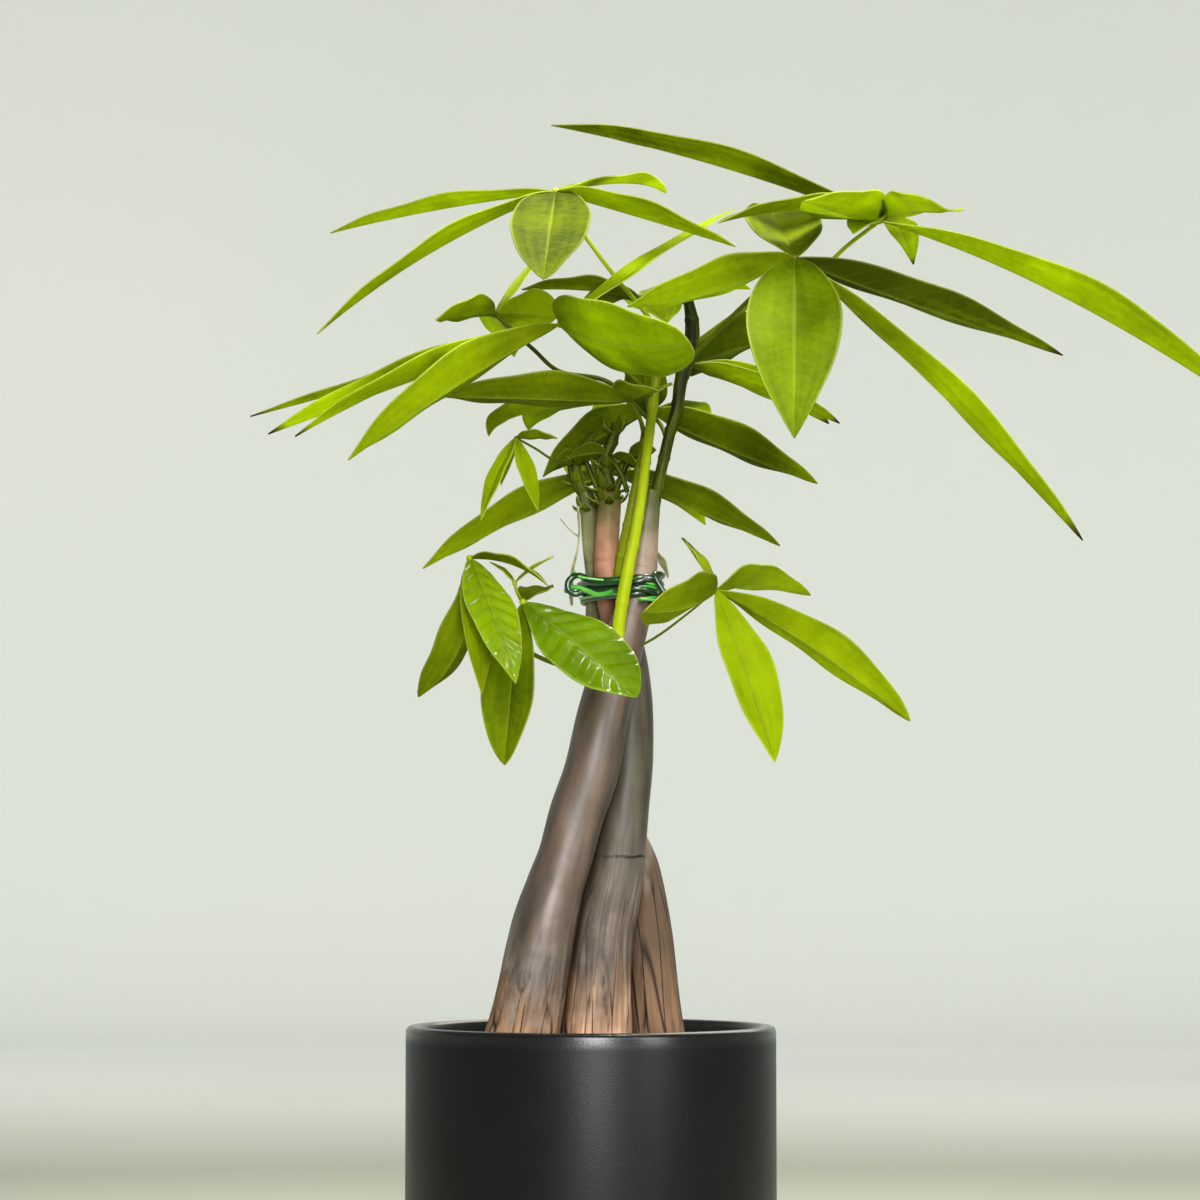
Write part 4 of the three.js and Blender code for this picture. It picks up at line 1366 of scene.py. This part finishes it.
# %% Bud scales and stubs
# Each tuft's shoot, foot and radius, how many scales it has, how long they are, and how sunlit
SCALE_TUFTS = [
    ("shoot_mid", (6.6, 0, 316), 4.4, 9, 8, 0.0),
    ("shoot_mid", (6.4, 0, 321), 4.0, 8, 8, 0.05),
    ("shoot_mid", (5.6, -0.5, 329), 2.6, 6, 8, 0.05),
    ("shoot_left", (-1.0, 4.6, 314), 3.6, 7, 7, 0.1),
    ("shoot_left", (-4.4, 4, 324), 2.4, 5, 6, 0.1),
    ("shoot_left", (-5.4, 4, 331), 2.2, 5, 7, 0.05),
    ("shoot_mid", (8.6, -1.3, 342), 2.0, 5, 8, 0.05),
]
SCALE_WIDTH = 3.4
STUBS = [
    ("shoot_mid", [(6.5, -1, 314, 1.3), (10.5, -3, 324, 1.1), (14.5, -3.5, 334, 1.0)]),
    ("shoot_mid", [(13.5, -4.5, 320, 0.9), (10.5, -4, 328, 1.0), (5, -2, 335, 0.9)]),
    ("shoot_mid", [(4.5, 0, 317, 1.2), (0.5, 0.5, 326, 1.0), (-3, 0.5, 335, 1.0)]),
    ("shoot_mid", [(6, -1, 320, 1.1), (2.5, -2, 329, 1.0), (5.5, -2.5, 336, 0.9)]),
    ("shoot_left", [(-2, 4.5, 317, 1.2), (-6.6, 3.5, 325, 1.1), (-8.4, 3, 334, 1.0)]),
]
# Each one's shoot, foot and tip, its width, and how far it rolls
OLD_LEAFLETS = [
    ("shoot_mid", (14, -3.5, 333), (24, -6, 335.5), 8, -55),
    ("shoot_mid", (6, -2.5, 335), (-8, -6, 332.5), 8, 55),
    ("shoot_left", (-4, 3.5, 334), (-13, 2, 331), 8, 50),
    ("shoot_mid", (8, -2, 334), (18, -7, 328), 6, -50),
]
for name, points in STUBS:
    stub = roll_tube("leaf_stub", points, 12, 40)
    set_look(stub, 0.05, 0.05)
    stub.data.materials.append(rind)
    shoots[name] = join([shoots[name], stub], "green_" + name)
for name, start, tip, width, roll in OLD_LEAFLETS:
    small = blade(tip, width, arch=1, roll=roll, sun=0.0, quilt=0, veins=6)
    shoots[name] = join([shoots[name], leaf_sheet("old_leaflet", start, [small])], "green_" + name)

# The scales stand round the shoot, and sines make each one lean and turn differently
for number, (name, foot, radius, count, length, sun) in enumerate(SCALE_TUFTS):
    for i in range(count):
        turn = (i + 0.4 * (number % 3) + 0.25 * math.sin(7 * i + number)) / count * 2 * math.pi
        way = np.array((math.cos(turn), math.sin(turn), 0))
        lean = 0.55 + 0.3 * math.sin(3 * i + 2 * number)
        start = np.array(foot) + way * radius * 0.6
        tip = start + way * length * lean + np.array((0, 0, length * (1.1 - lean)))
        scale = blade(tuple(tip), SCALE_WIDTH, arch=-0.8, sun=sun, quilt=0, veins=5, pattern=SCALE)
        shoots[name] = join([shoots[name], leaf_sheet("scale", tuple(start), [scale])], "green_" + name)
for name, piece in [*trunks.items(), *shoots.items()]:
    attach(piece, "root")
    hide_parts(name)
print("stems and shoots with", sum(tuft[3] for tuft in SCALE_TUFTS), "bud scales")

# %% [markdown]
# ## Palmate leaves
# Each leaf is one growth: a stalk, a small hub and its leaflets. The table gives the hub, the stalk's
# bends, the stem or shoot that it grows from and how far along that, how much painted light the
# stalk has at its hub, and the leaflets. A leaflet is a tip point and a width, with how far it arches
# off a straight line, how far it rolls about its rib and folds along it, where along it the arch
# peaks and where it is widest, how blunt its ends are, how sunlit it is painted and how fresh its
# green is, whether its tip has dried, and how deeply it is quilted.

# %% Leaf table
BROAD_LATE = dict(belly=1.2, point=0.75)
BROAD_EARLY = dict(belly=0.5, point=0.75)
LEAVES = {
    "leaf_crown_left": dict(
        hub=(-13, -15, 430),
        bends=[(-2, -10, 414), (10, -3, 399), (22, 2, 385)],
        grows=("shoot_tall", 0.66),
        stalk=0.8,
        leaflets=[
            blade((-98, 15, 420), 17, arch=3, roll=2, sun=0.5),
            blade((-97, -55, 371), 20, arch=6, roll=12, sun=0.48),
            blade((-16, -100, 383), 29, arch=2, sun=0.1, belly=0.8, point=0.7, fold=8),
            blade((29, 55, 443), 14, arch=5, roll=-4, peak=0.75, sun=0.7),
            blade((52, -40, 405), 22, arch=2, roll=-12, sun=0.45),
        ],
    ),
    "leaf_crown_right": dict(
        hub=(106, -15, 419),
        bends=[(95, -12, 411), (82, -8, 400), (57, 0, 389)],
        grows=("shoot_tall", 0.8),
        stalk=0.85,
        leaflets=[
            blade((-15, 10, 460), 24, arch=5, roll=10, sun=0.05),
            blade((45, -65, 409), 22, arch=6, roll=4, sun=0.3),
            blade((74, -90, 412), 28, arch=1, roll=14, sun=0.65),
            blade((93, -60, 406), 14, arch=2, sun=0.65),
            blade((123, -90, 409), 24, arch=3, roll=-14, sun=0.5, belly=1.8, point=0.42),
            blade((234, -25, 352), 34, arch=8, roll=-8, sun=0.5, belly=1.3, point=0.8),
            blade((125, 60, 416), 13, arch=8, peak=0.7, sun=0.5, dry=1),
        ],
    ),
    "leaf_front_right": dict(
        hub=(73, -45, 400),
        bends=[(65, -35, 394), (56, -22, 387)],
        grows=("shoot_tall", 0.74),
        stalk=0.2,
        leaflets=[
            blade((69, -110, 327), 34, arch=5, sun=0.34, fresh=0.4, belly=0.8, fold=8),
            blade((13, -60, 380), 30, arch=-1, roll=21, sun=0.55, fresh=0.2),
            blade((176, 10, 373), 26, arch=1, roll=-8, sun=0.0, dry=1, belly=0.75),
            blade((173, -60, 297), 24, arch=4, roll=-18, sun=0.6, dry=1, belly=1.1),
            blade((66, 15, 431), 30, arch=3, sun=0.45),
        ],
    ),
    "leaf_front": dict(
        hub=(-11, -45, 376),
        bends=[(-2, -35, 372), (11, -20, 364)],
        grows=("shoot_front", 0.92),
        stalk=0.5,
        leaflets=[
            blade(
                (34, -95, 362), 38, arch=-3, roll=-40, sun=0.42, fresh=0.3, belly=0.72, point=0.45,
                fold=8,
            ),
            blade((-84, -80, 323), 31, arch=4, roll=31, sun=0.62, belly=1.0),
            blade((-117, -25, 339), 26, arch=2, roll=8, sun=0.85, dry=1),
            blade((-105, -50, 335), 20, arch=5, roll=8, sun=0.8, dry=1),
            blade((54, 25, 431), 9, arch=2, roll=8, sun=0.85),
            blade((-127, 10, 350), 12, arch=0, roll=3, sun=0.4, dry=1),
        ],
    ),
    "leaf_left": dict(
        hub=(-35, -25, 383),
        bends=[(-21, -18, 371), (-12, -12, 364), (6, -5, 361)],
        grows=("shoot_front", 0.84),
        stalk=0.1,
        leaflets=[
            blade((-20, 35, 415), 4, arch=0, sun=0.6),
            blade((-55, -55, 376), 17, arch=2, roll=30, sun=0.45),
            blade((-13, -14, 383), 19, arch=2, roll=-45, sun=0.55, belly=1.5, point=0.6),
            blade((-30, 60, 380), 20, arch=5, sun=0.5),
        ],
    ),
    "leaf_back": dict(
        hub=(18, 22, 397),
        bends=[(28, 12, 395)],
        grows=("shoot_tall", 0.98),
        stalk=0.2,
        leaflets=[
            blade((-26, 12, 398), 18, arch=3, roll=5, sun=0.1),
            blade((-4, 55, 396), 16, arch=3, roll=10, sun=0.15),
            blade((30, 90, 398), 24, arch=2, sun=0.5),
            blade((62, 70, 408), 22, arch=3, sun=0.5),
        ],
    ),
    "leaf_mid_right": dict(
        hub=(36, 20, 371),
        bends=[(35, 12, 366)],
        grows=("shoot_tall", 0.6),
        stalk=0.2,
        leaflets=[
            blade((94, 30, 350), 24, arch=2, roll=-7, sun=0.35, dry=1),
            blade((92, 62, 354), 24, arch=4, roll=-8, sun=0.4, dry=1),
            blade((68, 62, 387), 32, arch=2, roll=-46, sun=0.0),
            blade((27, 95, 378), 22, arch=6, sun=0.4),
        ],
    ),
    "leaf_mid_left": dict(
        hub=(14, -18, 352),
        bends=[(18, -12, 346)],
        grows=("shoot_inner", 0.97),
        stalk=0.2,
        leaflets=[
            blade((-54, -45, 350), 26, arch=2, roll=22, sun=0.4),
            blade((-38, 5, 342), 22, arch=7, peak=0.9, sun=0.35),
            blade((-24, 35, 348), 20, arch=6, peak=0.9, sun=0.35),
            blade((24, -60, 350), 22, arch=3, sun=0.4),
        ],
    ),
    "leaf_small": dict(
        hub=(-27, -30, 337),
        bends=[(-20, -22, 334), (-14, -14, 331)],
        grows=("shoot_left", 0.62),
        radius=0.45,
        stalk=0.2,
        leaflets=[
            blade((-12, -45, 335), 6, arch=1, roll=-30, sun=0.45),
            blade((-18.5, -55, 308), 7, arch=0.5, sun=0.7),
            blade((-39, -50, 305), 7, arch=2, sun=0.65),
            blade((-33, -10, 322), 5, arch=2, sun=0.6),
        ],
    ),
    "leaf_side": dict(
        hub=(8, 30, 331),
        bends=[(18, 20, 327)],
        grows=("shoot_tall", 0.2),
        stalk=0.2,
        leaflets=[
            blade((-63, 20, 294), 29, arch=3, roll=20, sun=0.55),
            blade((71, 25, 303), 27, arch=2, roll=-18, sun=0.3),
            blade((-6, 105, 333), 25, arch=6, sun=0.5),
            blade((45, 95, 318), 22, arch=5, sun=0.5),
            blade((15, 115, 342), 26, arch=7, sun=0.5),
        ],
    ),
    "leaf_right": dict(
        hub=(21, 24, 354),
        bends=[(26, 12, 347)],
        grows=("shoot_tall", 0.38),
        stalk=0.2,
        leaflets=[
            blade((85, 20, 326), 30, arch=1, roll=-20, sun=0.25),
            blade((-18, 15, 328), 25, arch=3, roll=32, sun=0.3),
            blade((19, -16, 374), 17, arch=0, sun=0.0, belly=0.6, point=0.7),
            blade((3, 100, 352), 24, arch=6, sun=0.5),
            blade((45, 105, 353), 26, arch=6, sun=0.5),
        ],
    ),
    "leaf_low_left": dict(
        hub=(-43, -45, 292),
        bends=[(-38, -42, 278), (-29, -37, 264), (-17, -30, 257), (-2, -20, 253)],
        grows=("stem_left", 0.72),
        stalk=0.5,
        leaflets=[
            blade((-15, -60, 281), 10, arch=4, roll=-12, sun=0.4),
            blade((-25.5, -90, 245), 18, arch=2, sun=0.9, quilt=1.2, gloss=True, veins=10, fold=3),
            blade((-37.5, -75, 242), 12, arch=4, sun=0.65),
            blade((-62, -30, 243.5), 21, arch=-8, sun=0.5, **BROAD_LATE),
            blade((-43, -28, 264), 8, arch=2, sun=0.3),
        ],
    ),
    "leaf_glossy": dict(
        hub=(-24, -50, 276),
        bends=[(-11, -40, 265), (3, -28, 258)],
        grows=("shoot_front", 0.05),
        stalk=0.6,
        leaflets=[
            blade(
                (16, -78, 241), 29.5, arch=1, roll=32, sun=0.6, fresh=0.45, quilt=1.3, gloss=True,
                veins=9, fold=7, **BROAD_LATE,
            ),
            blade((-30, -65, 218), 21, arch=3, sun=0.4, fresh=0.35, quilt=0.08, **BROAD_LATE),
            blade((-15, -10, 284), 12, arch=2, sun=0.3),
        ],
    ),
    "leaf_low_right": dict(
        hub=(45, -30, 282),
        bends=[(35, -22, 274), (22, -14, 265)],
        grows=("stem_left", 0.755),
        radius=0.42,
        stalk=0.3,
        leaflets=[
            blade((18.5, -80, 270.5), 26, arch=-1, roll=44, sun=0.5, belly=0.88, point=0.7),
            blade((34, 25, 306), 9, arch=2, roll=38, sun=0.5),
            blade((82, 20, 284), 23, arch=4, roll=-24, peak=0.3, sun=0.6, **BROAD_EARLY),
            blade((115, -25, 235), 23, arch=4, roll=-30, sun=0.65, belly=1.1, point=0.8),
            blade((64, -70, 219), 21, arch=3, sun=0.95, belly=1.05, point=0.8),
        ],
    ),
}
YOUNG = dict(
    hub=(-27, -48, 283),
    bends=[(-26, -48.5, 279.5)],
    root=(-24, -50, 276),
    radius=0.55,
    stalk=0.6,
    leaflets=[
        blade((-13, -52, 292), 3, arch=1, sun=0.8, quilt=0),
        blade((-36, -40, 291), 3, arch=1, sun=0.8, quilt=0),
    ],
)
print("leaves", len(LEAVES), "leaflets", sum(len(leaf["leaflets"]) for leaf in LEAVES.values()))

# %% Grow a leaf
STALK_RADIUS = 0.75
STALK_SWELL = 0.35
HUB_SHARE = 1.7
DARK_END = 0.15
GROWN_ON = {**STEMS, **SHOOTS}


def grow(name, leaf, root):
    """A stalk from the root to the hub, the hub, and the leaflets, as one piece."""
    radius = leaf.get("radius", STALK_RADIUS)
    route = [leaf["hub"], *leaf["bends"], root]
    last = len(route) - 1
    points = [(*place, radius * (1 + STALK_SWELL * (i / last) ** 2)) for i, place in enumerate(route)]
    stalk = roll_tube(name + "_stalk", points, 12, 24 * last)
    bpy.ops.object.select_all(action="DESELECT")
    bpy.ops.mesh.primitive_uv_sphere_add(
        segments=16,
        ring_count=10,
        radius=radius * HUB_SHARE * MM,
        location=[c * MM for c in leaf["hub"]],
    )
    hub = bpy.context.object
    bpy.ops.object.transform_apply(location=True, rotation=True, scale=True)
    # The stalk is painted with light at its hub and with shade towards its root, down to DARK_END
    pale = leaf["stalk"]
    set_look(stalk, pale, min(pale, DARK_END))
    keep_values(hub.data, "straight", "FLOAT_VECTOR", read_places(hub.data))
    set_look(hub, pale, pale)
    for piece in (stalk, hub):
        piece.data.materials.append(rind)
    sheet = leaf_sheet(name + "_sheet", leaf["hub"], leaf["leaflets"])
    return join([sheet, stalk, hub], name)


def place_along(points, share):
    """The place at this share of the line's length."""
    line, lengths = even_line(points, 400)
    return [float(np.interp(share, lengths / lengths[-1], line[:, i])) for i in range(3)]


print("leaves grow on", len(GROWN_ON), "stems and shoots")

# %% Leaves
for name, leaf in LEAVES.items():
    support, share = leaf["grows"]
    root = place_along(GROWN_ON[support], share)
    piece = grow("palmate_" + name, leaf, root)
    if name == "leaf_glossy":
        young = grow("young_leaf", YOUNG, YOUNG["root"])
        piece = join([piece, young], "palmate_" + name)
    bpy.ops.object.select_all(action="DESELECT")
    piece.select_set(True)
    bpy.context.view_layer.objects.active = piece
    bpy.ops.object.shade_smooth_by_angle(angle=math.radians(55))
    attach(piece, "root")
    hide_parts(name)
    low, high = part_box(name)
    places = read_places(piece.data)
    over = max(max(np.array(low) - places.min(0)), max(places.max(0) - np.array(high)))
    print(name, len(piece.data.polygons), "faces,", round(over / MM, 1), "mm past its solid")
for sheet in (LEAFLET[0], SCALE[0]):
    bpy.data.objects.remove(sheet)

# %% [markdown]
# ## Wire tie
# Growers hold the plait with soft wire in a green vinyl coat, wound a few times round all three
# stems, with the ends left loose. It goes round the outline of the stems, as a string would. A second
# dark wire crosses the first, and a thinner bright one winds over both.

# %% Way round the stems
TURN_POINTS = 18


def round_the_stems(turns, start, bottom, pitch, stand_off, wobble):
    """Points round all three stems, from an angle and a height, rising by pitch a turn. stand_off is
    how far the wire's middle is off the stem, and wobble how far it strays up and down."""
    route = []
    for i in range(int(turns * TURN_POINTS) + 1):
        angle = start + i / TURN_POINTS * 2 * math.pi
        z = bottom + i / TURN_POINTS * pitch
        way = np.array((math.cos(angle), math.sin(angle)))
        best = None
        for points in STEMS.values():
            table = np.array(points, float)
            x, y, radius = (np.interp(z, table[:, 2], table[:, k]) for k in (0, 1, 3))
            reach = x * way[0] + y * way[1] + radius
            if best is None or reach > best[0]:
                best = (reach, x + way[0] * (radius + stand_off), y + way[1] * (radius + stand_off))
        stray = wobble * (math.sin(0.47 * i + start) + 0.6 * math.sin(1.13 * i))
        route.append((best[1], best[2], z + stray))
    return route


print("one turn has", TURN_POINTS, "points")

# %% Wire tie
TIE_RADIUS = 1.2
CROSSING_RADIUS = 1.1
TWIST_RADIUS = 0.9
BRIGHT_RADIUS = 0.5
CLOSE = TIE_RADIUS + 0.3

wound = round_the_stems(3.64, start=-0.6, bottom=279.5, pitch=3.1, stand_off=CLOSE, wobble=0.5)
crossing = round_the_stems(
    2.3, start=-0.9, bottom=289.5, pitch=-3.4, stand_off=CLOSE + 1.5, wobble=0.7
)
bright = round_the_stems(2.2, start=-1.4, bottom=280.4, pitch=2.9, stand_off=CLOSE + 1.3, wobble=0.9)
loop = [(-6.5, -9, 288.5), (-8.3, -9.5, 286.5), (-8.2, -10, 283.5), (-5.6, -10.5, 282), (-3.4, -10, 283)]
tail = [(25, -9, 282), (27.5, -12, 280.5)]
twist = [(-9.5, -8, 283.2), (-6, -9.5, 284.6), (-2, -10.5, 283.4), (3, -13.5, 281.5), (8, -15.5, 282.5)]
bright_ends = [[(26.5, -13, 279), (18, -16.5, 279.8)], [(-5, -7, 289), (-6.5, -8, 291)]]
STRANDS = [
    ("main", [(27, -14, 278), *wound, *loop], TIE_RADIUS, wire_coat),
    ("crossing", [*tail, *crossing], CROSSING_RADIUS, wire_coat),
    ("bright", [*bright_ends[0], *bright, *bright_ends[1]], BRIGHT_RADIUS, bright_coat),
    ("twist", twist, TWIST_RADIUS, bright_coat),
]
wires = []
for name, points, radius, coat in STRANDS:
    wire = roll_tube("tie_" + name, [(*place, radius) for place in points], 12, 12 * len(points))
    wire.data.materials.append(coat)
    wires.append(wire)
tie = join(wires, "tie_wire")
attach(tie, "root")
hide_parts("tie")
print("tie", len(tie.data.polygons), "faces")

# %% [markdown]
# ## Studio
# A light tent keeps everything soft: a round pale floor that curves up into a low wall, so no view
# has a corner in it. Near the plant the paper is painted with shade, so that the floor doesn't outshine the
# wall.
# Plants look alive when light comes through them, so one lamp is above and behind. A small one
# overhead makes the glossy leaves sparkle, a tall one in front and one at the right give the pot and
# the bark their long soft highlights, and the widest one lights the wall.

# %% Backdrop paper
GREY_TO = 0.9
PALE_FROM = 2.3


def matt_paper():
    """Pale and without a highlight, painted with shade near the plant."""
    material, tree, output = new_material("pale matt backdrop paper")
    place = add_node(tree, "ShaderNodeTexCoord").outputs["Object"]
    cloud = add_node(tree, "ShaderNodeTexNoise", {"Vector": place, "Scale": 0.7, "Detail": 1.0})
    paper = add_node(
        tree,
        "ShaderNodeMix",
        {0: cloud.outputs["Fac"], 6: linear("#e6ebe0"), 7: linear("#f6f7f3")},
        data_type="RGBA",
    )
    # Painted shade: the paper is grey near the plant and pale from PALE_FROM metres out
    far = add_node(tree, "ShaderNodeVectorMath", {0: place}, operation="LENGTH")
    wall = add_node(
        tree, "ShaderNodeMapRange", {0: far.outputs["Value"], 1: GREY_TO, 2: PALE_FROM, 3: 0.0, 4: 1.0}
    )
    colour = add_node(
        tree,
        "ShaderNodeMix",
        {0: wall.outputs[0], 6: linear("#858a81"), 7: paper.outputs[2]},
        data_type="RGBA",
    )
    shader = add_node(
        tree, "ShaderNodeBsdfPrincipled", {"Base Color": colour.outputs[2], "Roughness": 0.9}
    )
    tree.links.new(shader.outputs[0], output.inputs["Surface"])
    return material


backdrop_paper = matt_paper()
print("made", backdrop_paper.name)

# %% Floor and wall
FLOOR_RADIUS = 2.4
WALL_SPREAD = 1.2
WALL_HEIGHT = 2.0
WALL_STEPS = 12
RIM_TOUCH = 1e-4

bpy.ops.object.select_all(action="DESELECT")
bpy.ops.mesh.primitive_circle_add(vertices=96, radius=FLOOR_RADIUS, fill_type="NGON")
floor = bpy.context.object
floor.name = "studio_floor"
bpy.ops.object.mode_set(mode="EDIT")
bpy.ops.mesh.select_mode(type="EDGE")
for step in range(1, WALL_STEPS + 1):
    turn = step / WALL_STEPS * math.pi / 2
    spread = FLOOR_RADIUS + WALL_SPREAD * math.sin(turn)
    lift = WALL_HEIGHT * (1 - math.cos(turn))
    bpy.ops.object.mode_set(mode="OBJECT")
    reach = max(vertex.co.xy.length for vertex in floor.data.vertices)
    height = max(vertex.co.z for vertex in floor.data.vertices)
    pick(floor, edges=lambda ends: all(end.xy.length > reach - RIM_TOUCH for end in ends))
    bpy.ops.mesh.extrude_edges_move(TRANSFORM_OT_translate={"value": (0, 0, lift - height)})
    bpy.ops.transform.resize(value=(spread / reach, spread / reach, 1), center_override=(0, 0, 0))
bpy.ops.mesh.select_all(action="SELECT")
bpy.ops.mesh.normals_make_consistent(inside=True)
bpy.ops.object.mode_set(mode="OBJECT")
bpy.ops.object.shade_smooth()
floor.data.materials.append(backdrop_paper)
print("the wall starts", FLOOR_RADIUS, "m from the plant and is", WALL_HEIGHT, "m high")

# %% Lamps
WARM_WHITE = "#fffbe8"
SKY = "#eef2ec"
SKY_STRENGTH = 0.26


def softbox(name, place, aim, width, height, watts, colour="#ffffff", spread=180):
    """A rectangular lamp that faces aim and isn't seen itself. Sizes in metres, spread in degrees."""
    bpy.ops.object.select_all(action="DESELECT")
    way = (Vector(place) - Vector(aim)).to_track_quat("Z", "Y").to_euler()
    bpy.ops.object.light_add(type="AREA", location=place, rotation=way)
    lamp = bpy.context.object
    lamp.name = name
    lamp.data.shape = "RECTANGLE"
    lamp.data.size = width
    lamp.data.size_y = height
    lamp.data.spread = math.radians(spread)
    lamp.data.energy = watts
    lamp.data.color = linear(colour)[:3]
    lamp.visible_camera = False


softbox("lamp_behind", (0.35, 0.95, 1.15), (0.03, 0, 0.34), 1.0, 1.0, 13, WARM_WHITE)
softbox("lamp_above", (0.2, 0.14, 1.35), (0, 0, 0.3), 0.4, 0.4, 14, WARM_WHITE, spread=90)
softbox("lamp_front_tall", (0.1, -1.7, 0.8), (0, 0, 0.15), 0.4, 1.4, 54)
softbox("lamp_front_right", (0.95, -1.2, 0.7), (0, 0, 0.25), 0.35, 1.1, 14)
softbox("lamp_backdrop", (0, 1.0, 0.9), (0, 3.4, 0.35), 2.4, 0.6, 17.5)
world = bpy.data.worlds.new("overcast")
bpy.context.scene.world = world
world.use_nodes = True
sky = world.node_tree.nodes["Background"]
sky.inputs["Color"].default_value = linear(SKY)
sky.inputs["Strength"].default_value = SKY_STRENGTH
print("lamps and sky ready")
